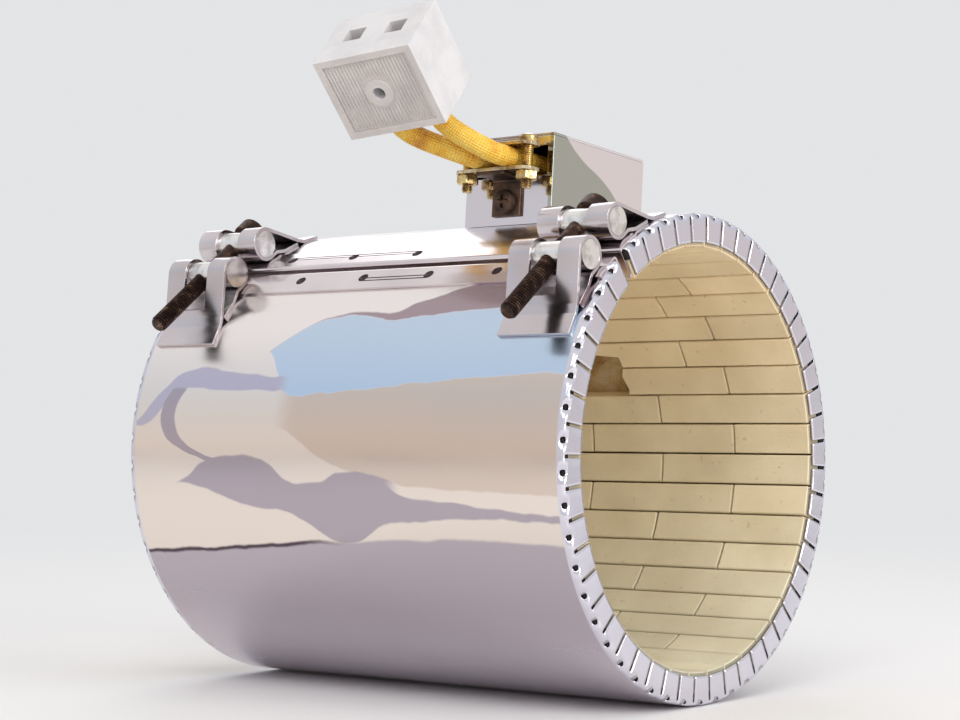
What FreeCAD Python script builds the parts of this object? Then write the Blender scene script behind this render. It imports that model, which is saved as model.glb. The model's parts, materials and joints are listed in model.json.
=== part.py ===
"""Ceramic band heater for a machine barrel: sheet jacket with folded tabs, insulating blanket,
ceramic tiles in courses, two barrel-and-screw clamps over the gap, a terminal box with a cord
clamp, and two sleeved leads that carry a two-pole porcelain terminal block.

Frame: millimetres, origin on the bore's axis at mid length, +X along the bore, +Z up.
The clamping hardware is drawn with the gap at the top and turned about X by gap_angle.
"""
import FreeCAD, Part
import math
import os

import Sketcher
from FreeCAD import Placement, Rotation, Vector

DRIVING = [
    # the band
    ("bore_radius", 70.0),
    ("band_length", 188.0),
    ("sheet", 0.8),
    ("gap_width", 3.0),
    ("gap_angle", 37.0),
    ("fold_radius", 1.5),
    ("tab_count", 50),
    ("tab_slit", 1.2),
    ("tab_short", 1.2),
    ("seat", 0.1),
    # tiles and blanket
    ("tile_rows", 40),
    ("tiles_per_row", 3),
    ("tile_thick", 7.0),
    ("tile_joint", 0.6),
    ("blanket_thick", 3.0),
    ("break_at", 18.0),
    # strips along the gap
    ("strip_width", 10.9),
    ("strip_inset", 1.7),
    ("strip_curve", 60.0),
    ("dimple_radius", 1.9),
    ("dimple_depth", 0.35),
    ("dimple_pitch", 28.5),
    # clamps
    ("clamp_inset", 18.0),
    ("loop_width", 27.6),
    ("strap_thick", 1.2),
    ("barrel_radius", 4.75),
    ("barrel_offset", 9.5),
    ("window_width", 10.8),
    ("foot_start", 19.3),
    ("foot_end", 24.5),
    ("screw_radius", 3.0),
    ("screw_length", 55.0),
    ("screw_fit", 0.06),
    ("head_radius", 5.0),
    ("head_height", 6.0),
    ("socket_radius", 2.9),
    ("socket_depth", 3.2),
    # terminal box
    ("box_centre", 21.5),
    ("box_width", 37.0),
    ("box_depth", 55.0),
    ("box_height", 29.5),
    ("box_front", -13.0),
    ("box_rise", 1.0),
    ("box_lean", 5.0),
    ("box_sheet", 1.0),
    ("box_skirt", 18.0),
    ("lid_lip", 4.0),
    ("entry_width", 32.0),
    ("entry_height", 10.4),
    ("entry_centre", 20.0),
    # cord clamp on the box
    ("plate_end", 3.2),
    ("plate_depth", 9.0),
    ("plate_thick", 1.2),
    ("plate_back", 2.5),
    ("clamp_pitch", 25.6),
    ("clamp_screw_radius", 2.0),
    ("clamp_screw_length", 16.0),
    ("nut_flats", 7.0),
    ("nut_height", 3.2),
    ("pan_radius", 4.4),
    ("pan_height", 2.6),
    ("foot_width", 12.0),
    ("foot_screw_height", 6.0),
    ("lid_screw_from_front", 10.0),
    # leads
    ("lead_radius", 3.7),
    ("lead_pitch", 12.0),
    ("core_radius", 1.3),
    ("core_length", 9.0),
    # porcelain block, with its own axes: X across both poles, Y along the wires, Z to the screws
    ("block_width", 37.1),
    ("block_length", 31.2),
    ("block_height", 27.5),
    ("block_x", 6.0),
    ("block_y", -56.0),
    ("block_rise", 49.0),
    ("block_yaw", 8.7),
    ("block_pitch", -5.5),
    ("block_roll", -48.0),
    ("pole_pitch", 16.0),
    ("pole_rise", 1.0),
    ("channel", 7.0),
    ("lead_well_radius", 4.0),
    ("lead_well_depth", 6.0),
    ("screw_well_radius", 3.1),
    ("label_rim", 2.4),
    ("label_depth", 0.9),
    ("boss_radius", 5.0),
    ("block_hole_radius", 2.2),
    ("terminal_length", 17.0),
    ("terminal_bore", 1.6),
    ("terminal_screw_spread", 9.0),
]

doc = FreeCAD.newDocument("band_heater")
sheet = doc.addObject("Spreadsheet::Sheet", "Sizes")
DERIVED = [
    ("jacket_radius", "bore_radius + tile_thick + blanket_thick + sheet + 2 * seat"),
    ("tab_reach", "jacket_radius - bore_radius - tab_short"),
    ("inner_half", "band_length / 2 - sheet - seat"),
    ("open_half", "asin((gap_width / 2 + sheet + seat) / bore_radius) / 1deg"),
    ("strip_length", "band_length - 2 * strip_inset"),
    ("clamp_spacing", "band_length - 2 * clamp_inset"),
    ("box_floor", "jacket_radius + box_rise"),
    ("plate_length", "clamp_pitch + 2 * plate_end"),
    ("block_z", "jacket_radius + block_rise"),
]
cells = [(alias, str(value)) for alias, value in DRIVING]
cells += [(alias, "=" + formula) for alias, formula in DERIVED]
for row, (alias, content) in enumerate(cells, start=1):
    sheet.set("A%d" % row, alias)
    sheet.set("B%d" % row, content)
    sheet.setAlias("B%d" % row, alias)
doc.recompute()

SUBPARTS = []


def size(alias):
    """The value of one cell of the sheet."""
    return float(sheet.get(alias))


def keep(obj, node):
    """Label a finished sub-part with the name of its file."""
    obj.Label = node
    SUBPARTS.append(obj)
    return obj


def sized(kind, name, **expressions):
    """A Part primitive whose dimensions are bound to the sheet."""
    obj = doc.addObject(kind, name)
    for prop, expression in expressions.items():
        obj.setExpression(prop, expression)
    return obj


def combine(kind, name, base, tool):
    """A boolean of two objects."""
    obj = doc.addObject(kind, name)
    obj.Base = base
    obj.Tool = tool
    return obj


def moved(x, y, z, turn=None):
    """A placement at a point, with an optional rotation."""
    return Placement(Vector(x, y, z), turn or Rotation())


# ---------------------------------------------------------------- sketches and bodies


def origin_plane(body, role):
    """One of a body's own origin planes."""
    return [item for item in body.Origin.OriginFeatures if item.Role == role][0]


def new_sketch(body, name, role, lift="0"):
    """A sketch on one of the body's origin planes, lifted along the plane's normal."""
    sketch = body.newObject("Sketcher::SketchObject", name)
    sketch.AttachmentSupport = [(origin_plane(body, role), "")]
    sketch.MapMode = "FlatFace"
    sketch.setExpression("AttachmentOffset.Base.z", lift)
    return sketch


def bind_point(sketch, geometry, position, across, up):
    """Tie one point of the sketch to two expressions, measured from the sketch's origin."""
    for kind, expression in (("DistanceX", across), ("DistanceY", up)):
        value = float(sheet.evalExpression(expression))
        index = sketch.addConstraint(
            Sketcher.Constraint(kind, -1, 1, geometry, position, value)
        )
        sketch.setExpression("Constraints[%d]" % index, expression)


def draw_polygon(sketch, corners):
    """A closed outline whose corners are pairs of expressions."""
    points = []
    for across, up in corners:
        points.append(
            Vector(
                float(sheet.evalExpression(across)), float(sheet.evalExpression(up)), 0
            )
        )
    first = sketch.GeometryCount
    count = len(points)
    for i in range(count):
        sketch.addGeometry(Part.LineSegment(points[i], points[(i + 1) % count]))
    for i in range(count):
        following = first + (i + 1) % count
        sketch.addConstraint(
            Sketcher.Constraint("Coincident", first + i, 2, following, 1)
        )
    for i, (across, up) in enumerate(corners):
        bind_point(sketch, first + i, 1, across, up)


def draw_rectangle(sketch, width, height, across="0", up="0"):
    """A rectangle by its middle and its two sizes, all expressions."""
    left, right = "%s - (%s) / 2" % (across, width), "%s + (%s) / 2" % (across, width)
    low, high = "%s - (%s) / 2" % (up, height), "%s + (%s) / 2" % (up, height)
    draw_polygon(sketch, [(left, low), (right, low), (right, high), (left, high)])


def draw_circle(sketch, radius, across="0", up="0"):
    """A circle by its radius and its middle, all expressions."""
    middle = Vector(
        float(sheet.evalExpression(across)), float(sheet.evalExpression(up)), 0
    )
    value = float(sheet.evalExpression(radius))
    geometry = sketch.addGeometry(Part.Circle(middle, Vector(0, 0, 1), value))
    index = sketch.addConstraint(Sketcher.Constraint("Radius", geometry, value))
    sketch.setExpression("Constraints[%d]" % index, radius)
    bind_point(sketch, geometry, 3, across, up)


def draw_hexagon(sketch, corner_radius):
    """A regular hexagon about the sketch's origin."""
    corners = []
    for i in range(6):
        corners.append(
            (
                "%s * cos(%ddeg)" % (corner_radius, 60 * i),
                "%s * sin(%ddeg)" % (corner_radius, 60 * i),
            )
        )
    draw_polygon(sketch, corners)


def pad(body, name, sketch, length, both=False, backwards=False):
    """Pad a sketch by an expression."""
    feature = body.newObject("PartDesign::Pad", name)
    feature.Profile = sketch
    feature.setExpression("Length", length)
    if both:
        feature.SideType = "Symmetric"
    feature.Reversed = backwards
    return feature


def pocket(body, name, sketch, length, both=False, backwards=False):
    """Pocket a sketch by an expression, and make sure that it removes material."""
    doc.recompute()
    before = body.Shape.Volume
    feature = body.newObject("PartDesign::Pocket", name)
    feature.Profile = sketch
    feature.setExpression("Length", length)
    if both:
        feature.SideType = "Symmetric"
    feature.Reversed = backwards
    doc.recompute()
    if body.Shape.Volume >= before - 0.01:
        raise RuntimeError("%s removes nothing" % name)
    return feature


def revolve(body, name, sketch, angle="360", both=False):
    """Revolve a sketch about its horizontal axis."""
    feature = body.newObject("PartDesign::Revolution", name)
    feature.Profile = sketch
    feature.ReferenceAxis = (sketch, ["H_Axis"])
    feature.setExpression("Angle", angle)
    feature.Midplane = both
    return feature


# ---------------------------------------------------------------- bent sheet


def offset_corner(before, corner, after, distance):
    """The corner of a line that runs beside a path at a distance to its left."""
    one = (corner - before).normalize()
    two = (after - corner).normalize()
    normal = Vector(0, -one.z - two.z, one.y + two.y).normalize()
    left = Vector(0, -one.z, one.y)
    return corner + normal * (distance / normal.dot(left))


def bent_side(path, radii, distance):
    """Edges of one face of a bent sheet: lines, with an arc at each bend."""
    last = len(path) - 1
    start = (path[1] - path[0]).normalize()
    end = (path[last] - path[last - 1]).normalize()
    corners = [path[0] + Vector(0, -start.z, start.y) * distance]
    for i in range(1, last):
        corners.append(offset_corner(path[i - 1], path[i], path[i + 1], distance))
    corners.append(path[last] + Vector(0, -end.z, end.y) * distance)
    edges = []
    here = corners[0]
    for i in range(1, last):
        one = (corners[i] - corners[i - 1]).normalize()
        two = (corners[i + 1] - corners[i]).normalize()
        turn = math.acos(max(-1.0, min(1.0, one.dot(two))))
        leftwards = one.y * two.z - one.z * two.y > 0
        radius = radii[i - 1] - (distance if leftwards else -distance)
        setback = radius * math.tan(turn / 2)
        enter = corners[i] - one * setback
        leave = corners[i] + two * setback
        inward = (two - one).normalize()
        middle = corners[i] + inward * (radius / math.cos(turn / 2) - radius)
        if (enter - here).Length > 1e-6:
            edges.append(Part.LineSegment(here, enter).toShape())
        edges.append(Part.Arc(enter, middle, leave).toShape())
        here = leave
    edges.append(Part.LineSegment(here, corners[last]).toShape())
    return edges, corners[0], corners[last]


def bent_sheet(name, path, radii, thickness, width):
    """Sheet bent along a path in the YZ plane and extruded evenly to both sides of X = 0."""
    left, left_start, left_end = bent_side(path, radii, thickness / 2)
    right, right_start, right_end = bent_side(path, radii, -thickness / 2)
    caps = [
        Part.LineSegment(left_start, right_start).toShape(),
        Part.LineSegment(left_end, right_end).toShape(),
    ]
    wire = Part.Wire(Part.__sortEdges__(left + right + caps))
    profile = doc.addObject("Part::Feature", name + "_profile")
    profile.Shape = Part.Face(wire)
    solid = doc.addObject("Part::Extrusion", name)
    solid.Base = profile
    solid.DirMode = "Custom"
    solid.Dir = Vector(1, 0, 0)
    solid.setExpression("LengthFwd", width)
    solid.Symmetric = True
    solid.Solid = True
    return solid


def polar(radius, degrees, side=1):
    """A point at a radius from the bore's axis, at an angle from the gap."""
    angle = math.radians(degrees)
    return Vector(0, side * radius * math.sin(angle), radius * math.cos(angle))


# ---------------------------------------------------------------- the band

GAP_TURN = Rotation(Vector(1, 0, 0), size("gap_angle"))
LINING = size("gap_width") / 2 + size("sheet") + size("seat")
OPEN_HALF = math.degrees(math.asin(LINING / size("bore_radius")))


def make_jacket():
    """One sheet rolled round the band, its ends folded in over the tiles as slit tabs."""
    body = doc.addObject("PartDesign::Body", "jacket")
    half = "Sizes.band_length / 2"
    inside = half + " - Sizes.sheet"
    outer = "-Sizes.jacket_radius"
    skin = "-Sizes.jacket_radius + Sizes.sheet"
    tip = "-Sizes.jacket_radius + Sizes.tab_reach"
    # the fold is drawn as two flats that touch its round at 0, 45 and 90 degrees
    corner = "(1 - sqrt(0.5)) * Sizes.fold_radius"
    right_end = [
        (half + " - Sizes.fold_radius", outer),
        ("%s - %s" % (half, corner), "%s + %s" % (outer, corner)),
        (half, outer + " + Sizes.fold_radius"),
        (half, tip),
        (inside, tip),
        (inside, skin),
    ]
    left_end = [("-(%s)" % along, up) for along, up in reversed(right_end)]
    section = new_sketch(body, "jacket_section", "XZ_Plane")
    draw_polygon(section, right_end + left_end)
    revolve(body, "jacket_roll", section, "360 - 2 * Sizes.open_half", both=True)
    doc.recompute()
    slit = new_sketch(body, "tab_slit", "YZ_Plane")
    low = "-Sizes.jacket_radius + Sizes.fold_radius + Sizes.seat"
    draw_rectangle(
        slit,
        "Sizes.tab_slit",
        "Sizes.tab_reach",
        up="%s + Sizes.tab_reach / 2" % low,
    )
    first = pocket(body, "tab_slits", slit, "Sizes.band_length + 2", both=True)
    rows = []
    for side in (1, -1):
        pattern = body.newObject("PartDesign::PolarPattern", "slits_round_%d" % len(rows))
        pattern.Originals = [first]
        pattern.Axis = (origin_axis(body), [""])
        pattern.Reversed = side < 0
        pattern.setExpression("Occurrences", "Sizes.tab_count / 2")
        pattern.setExpression(
            "Angle",
            "(360 - 2 * Sizes.open_half) / Sizes.tab_count * (Sizes.tab_count / 2 - 1)",
        )
        body.Tip = pattern
        doc.recompute()
        rows.append(pattern)
    body.Placement = Placement(Vector(), GAP_TURN)
    return keep(body, "jacket")


def origin_axis(body):
    """The X axis of a body's own origin."""
    return [item for item in body.Origin.OriginFeatures if item.Role == "X_Axis"][0]


def make_blanket():
    """Ceramic-fibre blanket between the tiles and the jacket."""
    body = doc.addObject("PartDesign::Body", "insulation_blanket")
    section = new_sketch(body, "blanket_section", "XZ_Plane")
    draw_rectangle(
        section,
        "2 * Sizes.inner_half",
        "Sizes.blanket_thick",
        up="-(Sizes.bore_radius + Sizes.tile_thick + Sizes.seat + Sizes.blanket_thick / 2)",
    )
    revolve(body, "blanket_roll", section, "360 - 2 * Sizes.open_half", both=True)
    body.Placement = Placement(Vector(), GAP_TURN)
    return keep(body, "insulation_blanket")


def tile(x_low, x_high, first_angle, last_angle):
    """One ceramic tile: round on the bore's side and flat at its back."""
    joint = size("tile_joint") / 2
    inner = size("bore_radius")
    outer = inner + size("tile_thick")
    relief = math.degrees(joint / inner)
    low, high = last_angle + relief, first_angle - relief
    middle = (low + high) / 2
    edges = [
        Part.Arc(polar(inner, low), polar(inner, middle), polar(inner, high)).toShape(),
        Part.LineSegment(polar(inner, high), polar(outer, high)).toShape(),
        Part.LineSegment(polar(outer, high), polar(outer, low)).toShape(),
        Part.LineSegment(polar(outer, low), polar(inner, low)).toShape(),
    ]
    face = Part.Face(Part.Wire(edges))
    face.translate(Vector(x_low + joint, 0, 0))
    return face.extrude(Vector(x_high - x_low - 2 * joint, 0, 0))


def row_joints(row, half, length):
    """Where the tiles of a row meet: halves and wholes in turn, and two rows that start with 3/4."""
    if row in THREE_QUARTER_ROWS:
        first = half - 0.75 * length
        return [half, first, first - length, first - 2 * length, -half]
    if row % 2:
        return [half, half - length / 2, half - 1.5 * length, half - 2.5 * length, -half]
    return [half - k * length for k in range(int(size("tiles_per_row")) + 1)]


THREE_QUARTER_ROWS = (8, 10)
CRACKED_ROW = 10
BROKEN_ROW = 11


def broken_edge(angle, points):
    """A prism that stands radially through the tiles, its outline in X and mm round the bore."""
    turn = Rotation(Vector(1, 0, 0), -angle)
    floor = size("bore_radius") - 5
    corners = [Vector(x, across, floor) for x, across in points]
    face = Part.Face(Part.makePolygon(corners + corners[:1]))
    prism = face.extrude(Vector(0, 0, size("tile_thick") + 10))
    prism.Placement = Placement(Vector(), turn)
    return prism


def make_tile_courses():
    """Forty rows of tiles, two rows to a course; one tile is lost and its neighbours are broken."""
    rows = int(size("tile_rows"))
    half = size("inner_half")
    length = 2 * half / size("tiles_per_row")
    pitch = (360 - 2 * OPEN_HALF) / rows
    edge = size("break_at")
    for course in range(rows // 2):
        solids = []
        for row in (2 * course, 2 * course + 1):
            first = OPEN_HALF + pitch * (row + 1)
            last = first - pitch
            joints = row_joints(row, half, length)
            for x_high, x_low in zip(joints[:-1], joints[1:]):
                if row == BROKEN_ROW and x_high < length / 4 and x_low > -1.2 * length:
                    continue
                solid = tile(x_low, x_high, first, last)
                if row == BROKEN_ROW and x_low < edge < x_high:
                    stump = [(-5, -8), (edge + 1.5, -8), (edge - 1, -2), (edge + 1, 3), (edge, 8), (-5, 8)]
                    solid = solid.cut(broken_edge(first - pitch / 2, stump))
                if row == CRACKED_ROW and x_low < edge < x_high:
                    chip = [(-40, 9), (-40, 0.5), (-9, 1.2), (4, -0.6), (edge, 0.8), (edge + 1, 9)]
                    solid = solid.cut(broken_edge(first - pitch / 2, chip))
                solids.extend(solid.Solids)
        group = doc.addObject("Part::Feature", "tile_course_%02d" % (course + 1))
        group.Shape = Part.makeCompound(solids)
        group.Placement = Placement(Vector(), GAP_TURN)
        keep(group, "tile_course_%02d" % (course + 1))


def make_gap_strip(node, side, welds):
    """A strip along one edge of the gap: it lies on the jacket and turns down to line the gap."""
    gauge = size("sheet")
    rest = size("jacket_radius") + size("seat") / 2 + gauge / 2
    face = side * (size("gap_width") / 2 + gauge / 2)
    tail = math.degrees((size("gap_width") / 2 + size("strip_width")) / rest)
    path = [
        Vector(0, face, size("bore_radius") + 1),
        Vector(0, face, math.sqrt(rest**2 - face**2)),
        polar(rest, tail * 0.58, side),
        polar(rest, tail, side),
    ]
    bends = [1.0, size("strip_curve")]
    strip = bent_sheet(node + "_bent", path, bends, gauge, "Sizes.strip_length")
    dimples = []
    for x in welds:
        spot = Part.makeCylinder(
            size("dimple_radius"), 5, Vector(x, 0, rest + gauge / 2 - size("dimple_depth"))
        )
        spot.rotate(Vector(), Vector(1, 0, 0), -side * tail * 0.55)
        dimples.append(spot)
    marks = doc.addObject("Part::Feature", node + "_welds")
    marks.Shape = Part.makeCompound(dimples)
    cut = combine("Part::Cut", node + "_dimpled", strip, marks)
    cut.Placement = Placement(Vector(), GAP_TURN)
    return keep(cut, node)


# ---------------------------------------------------------------- the clamps


def barrel_height():
    """Height of the screw's axis over the bore's axis, with the strap lying on the strip."""
    rest = size("jacket_radius") + size("seat") + size("sheet") + size("strap_thick") + size("seat")
    reach = rest + size("barrel_radius") + size("seat")
    return math.sqrt(reach**2 - size("barrel_offset") ** 2)


def make_clamp_loop(node, side, x):
    """A strap folded round a barrel, open in the middle for the screw, and spot-welded by its foot."""
    strap = size("strap_thick")
    rest = size("jacket_radius") + size("seat") + strap / 2
    bend = size("barrel_radius") + size("seat") + strap / 2
    middle = Vector(0, side * size("barrel_offset"), barrel_height())
    low = middle.z - bend
    gap_face = middle.y - side * bend
    shoulder = polar(rest + strap + size("seat") / 2, size("foot_start") - 2.1, side)
    # the strap leaves the eye along the tangent that passes through the shoulder
    away = middle - shoulder
    lean = math.atan2(away.z, abs(away.y)) + math.asin(bend / away.Length)
    rise = math.tan(lean) * abs(shoulder.y - gap_face)
    path = [
        polar(rest, size("foot_start") - 2.5, side),
        polar(rest, size("foot_start") - 7.8, side),
        Vector(0, side * 12.6, low),
        Vector(0, gap_face, low),
        Vector(0, gap_face, shoulder.z + rise),
        shoulder,
        polar(rest, size("foot_start"), side),
        polar(rest, size("foot_end"), side),
    ]
    bends = [1.5, 1.5, bend, bend, 1.5, 1.5]
    strip = bent_sheet(node + "_bent", path, bends, strap, "Sizes.loop_width")
    eye_window = sized(
        "Part::Box", node + "_eye_window", Length="Sizes.window_width", Width="14", Height="20"
    )
    eye_window.Placement = moved(-size("window_width") / 2, 1 if side > 0 else -15, low + 0.75)
    face_window = sized(
        "Part::Box", node + "_face_window", Length="Sizes.window_width", Width="8", Height="16"
    )
    face_window.Placement = moved(-size("window_width") / 2, 15 if side > 0 else -23, low - 0.55)
    holes = doc.addObject("Part::MultiFuse", node + "_window")
    holes.Shapes = [eye_window, face_window]
    cut = combine("Part::Cut", node + "_open", strip, holes)
    cut.Placement = Placement(Vector(x, 0, 0), GAP_TURN)
    return keep(cut, node)


def make_barrel(node, side, x):
    """A round barrel across the loop, drilled through the middle for the clamp screw."""
    rod = sized(
        "Part::Cylinder", node + "_rod", Radius="Sizes.barrel_radius", Height="Sizes.loop_width"
    )
    rod.Placement = moved(-size("loop_width") / 2, 0, 0, Rotation(Vector(0, 1, 0), 90))
    bore = sized(
        "Part::Cylinder",
        node + "_bore",
        Radius="Sizes.screw_radius + Sizes.screw_fit",
        Height="4 * Sizes.barrel_radius",
    )
    bore.Placement = moved(0, 2 * size("barrel_radius"), 0, Rotation(Vector(1, 0, 0), 90))
    cut = combine("Part::Cut", node + "_drilled", rod, bore)
    place = Vector(x, side * size("barrel_offset"), barrel_height())
    cut.Placement = Placement(GAP_TURN.multVec(place), GAP_TURN)
    return keep(cut, node)


def make_clamp_screw(node, x):
    """Socket-head cap screw: the head bears on the plain barrel and the shank runs through both."""
    body = doc.addObject("PartDesign::Body", node)
    section = new_sketch(body, node + "_section", "XZ_Plane")
    head, shank = "Sizes.head_radius", "Sizes.screw_radius"
    draw_polygon(
        section,
        [
            ("-Sizes.screw_length", "0"),
            ("Sizes.head_height", "0"),
            ("Sizes.head_height", head + " - 0.6"),
            ("Sizes.head_height - 0.6", head),
            ("0", head),
            ("0", shank),
            ("-Sizes.screw_length + 0.8", shank),
            ("-Sizes.screw_length", shank + " - 0.8"),
        ],
    )
    revolve(body, node + "_turned", section)
    socket = new_sketch(body, node + "_socket", "YZ_Plane", "Sizes.head_height")
    draw_hexagon(socket, "Sizes.socket_radius")
    pocket(body, node + "_hex", socket, "Sizes.socket_depth")
    seat = size("barrel_offset") + size("barrel_radius") + size("seat") / 2
    place = Vector(x, seat, barrel_height())
    along = GAP_TURN.multiply(Rotation(Vector(0, 0, 1), 90))
    body.Placement = Placement(GAP_TURN.multVec(place), along)
    return keep(body, node)


# ---------------------------------------------------------------- terminal box

BOX_TURN = Rotation(Vector(1, 0, 0), -size("box_lean"))
BOX_FRAME = Placement(
    Vector(size("box_centre"), size("box_front"), size("box_floor")), BOX_TURN
)


def jacket_cylinder(name, clearance):
    """A cylinder over the jacket, used to shape what sits on it, in the box's own frame."""
    drum = sized(
        "Part::Cylinder",
        name,
        Radius="Sizes.jacket_radius + " + clearance,
        Height="4 * Sizes.box_width",
    )
    level = Placement(Vector(-2 * size("box_width"), 0, 0), Rotation(Vector(0, 1, 0), 90))
    drum.Placement = BOX_FRAME.inverse().multiply(level)
    return drum


def make_box():
    """Folded sheet box, open at the top, its curved base lying on the jacket."""
    outer = sized(
        "Part::Box",
        "box_outer",
        Length="Sizes.box_width",
        Width="Sizes.box_depth",
        Height="Sizes.box_height + Sizes.box_skirt - Sizes.box_sheet",
    )
    outer.Placement = moved(-size("box_width") / 2, 0, -size("box_skirt"))
    inner = sized(
        "Part::Box",
        "box_inner",
        Length="Sizes.box_width - 2 * Sizes.box_sheet",
        Width="Sizes.box_depth - 2 * Sizes.box_sheet",
        Height="Sizes.box_height + Sizes.box_skirt",
    )
    wall = size("box_sheet")
    inner.Placement = moved(-size("box_width") / 2 + wall, wall, -size("box_skirt"))
    shaped = combine("Part::Cut", "box_on_jacket", outer, jacket_cylinder("box_seat", "Sizes.seat"))
    hollow = combine(
        "Part::Cut",
        "box_cavity",
        inner,
        jacket_cylinder("box_base", "Sizes.seat + Sizes.box_sheet"),
    )
    shell = combine("Part::Cut", "box_shell", shaped, hollow)
    entry = sized(
        "Part::Box",
        "box_entry",
        Length="Sizes.entry_width",
        Width="3 * Sizes.box_sheet",
        Height="Sizes.entry_height",
    )
    entry.Placement = moved(
        -size("entry_width") / 2, -wall, size("entry_centre") - size("entry_height") / 2
    )
    screw_hole = sized(
        "Part::Cylinder",
        "foot_screw_hole",
        Radius="Sizes.clamp_screw_radius + Sizes.seat",
        Height="4 * Sizes.box_sheet",
    )
    screw_hole.Placement = moved(
        0, 2 * wall, size("foot_screw_height"), Rotation(Vector(1, 0, 0), 90)
    )
    tab = sized("Part::Box", "lid_tab", Length="10", Width="14", Height="Sizes.box_sheet")
    tab.Placement = moved(-5, wall / 2, size("box_height") - 2 * wall)
    tab_hole = sized(
        "Part::Cylinder", "lid_tab_hole", Radius="Sizes.clamp_screw_radius + Sizes.seat", Height="6"
    )
    tab_hole.Placement = moved(0, size("lid_screw_from_front"), size("box_height") - 4)
    tabbed = combine("Part::Fuse", "box_with_tab", shell, tab)
    holes = doc.addObject("Part::MultiFuse", "box_openings")
    holes.Shapes = [entry, screw_hole, tab_hole]
    cut = combine("Part::Cut", "terminal_box_body", tabbed, holes)
    cut.Placement = BOX_FRAME
    return keep(cut, "terminal_box")


def make_lid():
    """Flat lid with a lip turned down inside the back wall, held by one screw near the front."""
    body = doc.addObject("PartDesign::Body", "terminal_box_lid")
    top = "Sizes.box_height - Sizes.box_sheet + Sizes.seat / 2"
    plan = new_sketch(body, "lid_plan", "XY_Plane", top)
    draw_rectangle(plan, "Sizes.box_width", "Sizes.box_depth", up="Sizes.box_depth / 2")
    draw_circle(plan, "Sizes.clamp_screw_radius + Sizes.seat", up="Sizes.lid_screw_from_front")
    pad(body, "lid_plate", plan, "Sizes.box_sheet")
    lip = new_sketch(body, "lid_lip_plan", "XY_Plane", top)
    draw_rectangle(
        lip,
        "Sizes.box_width - 4 * Sizes.box_sheet",
        "Sizes.box_sheet",
        up="Sizes.box_depth - 1.7 * Sizes.box_sheet",
    )
    pad(body, "lid_lip", lip, "Sizes.lid_lip", backwards=True)
    body.Placement = BOX_FRAME
    return keep(body, "terminal_box_lid")


def make_pan_screw(node, place, turn, length):
    """Pan-head screw with a cross recess, its head's underside at its own origin."""
    body = doc.addObject("PartDesign::Body", node)
    section = new_sketch(body, node + "_section", "XZ_Plane")
    shank = "Sizes.clamp_screw_radius"
    draw_polygon(
        section,
        [
            ("-(%s)" % length, "0"),
            ("Sizes.pan_height", "0"),
            ("Sizes.pan_height", "0.7 * Sizes.pan_radius"),
            ("0.5 * Sizes.pan_height", "Sizes.pan_radius"),
            ("0", "Sizes.pan_radius"),
            ("0", shank),
            ("-(%s)" % length, shank),
        ],
    )
    revolve(body, node + "_turned", section)
    cross = new_sketch(body, node + "_cross", "YZ_Plane", "Sizes.pan_height")
    wide, slim = "0.55 * Sizes.pan_radius", "0.12 * Sizes.pan_radius"
    arms = [(wide, slim), (slim, slim), (slim, wide)]
    corners = list(arms)
    corners += [("-(%s)" % a, b) for a, b in reversed(arms)]
    corners += [("-(%s)" % a, "-(%s)" % b) for a, b in arms]
    corners += [(a, "-(%s)" % b) for a, b in reversed(arms)]
    draw_polygon(cross, corners)
    pocket(body, node + "_recess", cross, "0.5 * Sizes.pan_height")
    body.Placement = BOX_FRAME.multiply(Placement(place, turn))
    return keep(body, node)


# ---------------------------------------------------------------- cord clamp

LEAD_HEIGHT = size("entry_centre")
LOWER_TOP = LEAD_HEIGHT - size("lead_radius") - size("seat") / 2
UPPER_LOW = LEAD_HEIGHT + size("lead_radius") + size("seat") / 2
PLATE_MIDDLE = -size("plate_back") - size("plate_depth") / 2


def make_clamp_plate(node, low):
    """A flat plate across both leads, with a hole at each end for its screw."""
    body = doc.addObject("PartDesign::Body", node)
    plan = new_sketch(body, node + "_plan", "XY_Plane")
    half, deep, corner = "Sizes.plate_length / 2", "Sizes.plate_depth / 2", "2"
    quarter = [(half, "%s - %s" % (deep, corner)), ("%s - %s" % (half, corner), deep)]
    corners = list(quarter)
    corners += [("-(%s)" % a, b) for a, b in reversed(quarter)]
    corners += [("-(%s)" % a, "-(%s)" % b) for a, b in quarter]
    corners += [(a, "-(%s)" % b) for a, b in reversed(quarter)]
    draw_polygon(plan, corners)
    for side in ("", "-"):
        draw_circle(
            plan, "Sizes.clamp_screw_radius + Sizes.seat", across=side + "Sizes.clamp_pitch / 2"
        )
    pad(body, node + "_plate", plan, "Sizes.plate_thick")
    body.Placement = BOX_FRAME.multiply(moved(0, PLATE_MIDDLE, low))
    return keep(body, node)


def make_clamp_foot():
    """Angle that carries the lower plate: up the front of the box, then outwards under the plate."""
    thick = size("plate_thick")
    shelf = LOWER_TOP - thick - size("seat") / 2 - thick / 2
    back = -size("seat") / 2 - thick / 2
    path = [
        Vector(0, back, size("foot_screw_height") - 5),
        Vector(0, back, shelf),
        Vector(0, -size("plate_back") - size("plate_depth"), shelf),
    ]
    angle = bent_sheet("foot_angle", path, [1.4], thick, "Sizes.foot_width")
    hole = sized(
        "Part::Cylinder", "foot_hole", Radius="Sizes.clamp_screw_radius + Sizes.seat", Height="4"
    )
    hole.Placement = moved(0, 1, size("foot_screw_height"), Rotation(Vector(1, 0, 0), 90))
    cut = combine("Part::Cut", "foot_drilled", angle, hole)
    cut.Placement = BOX_FRAME
    return keep(cut, "cord_clamp_foot")


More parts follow.
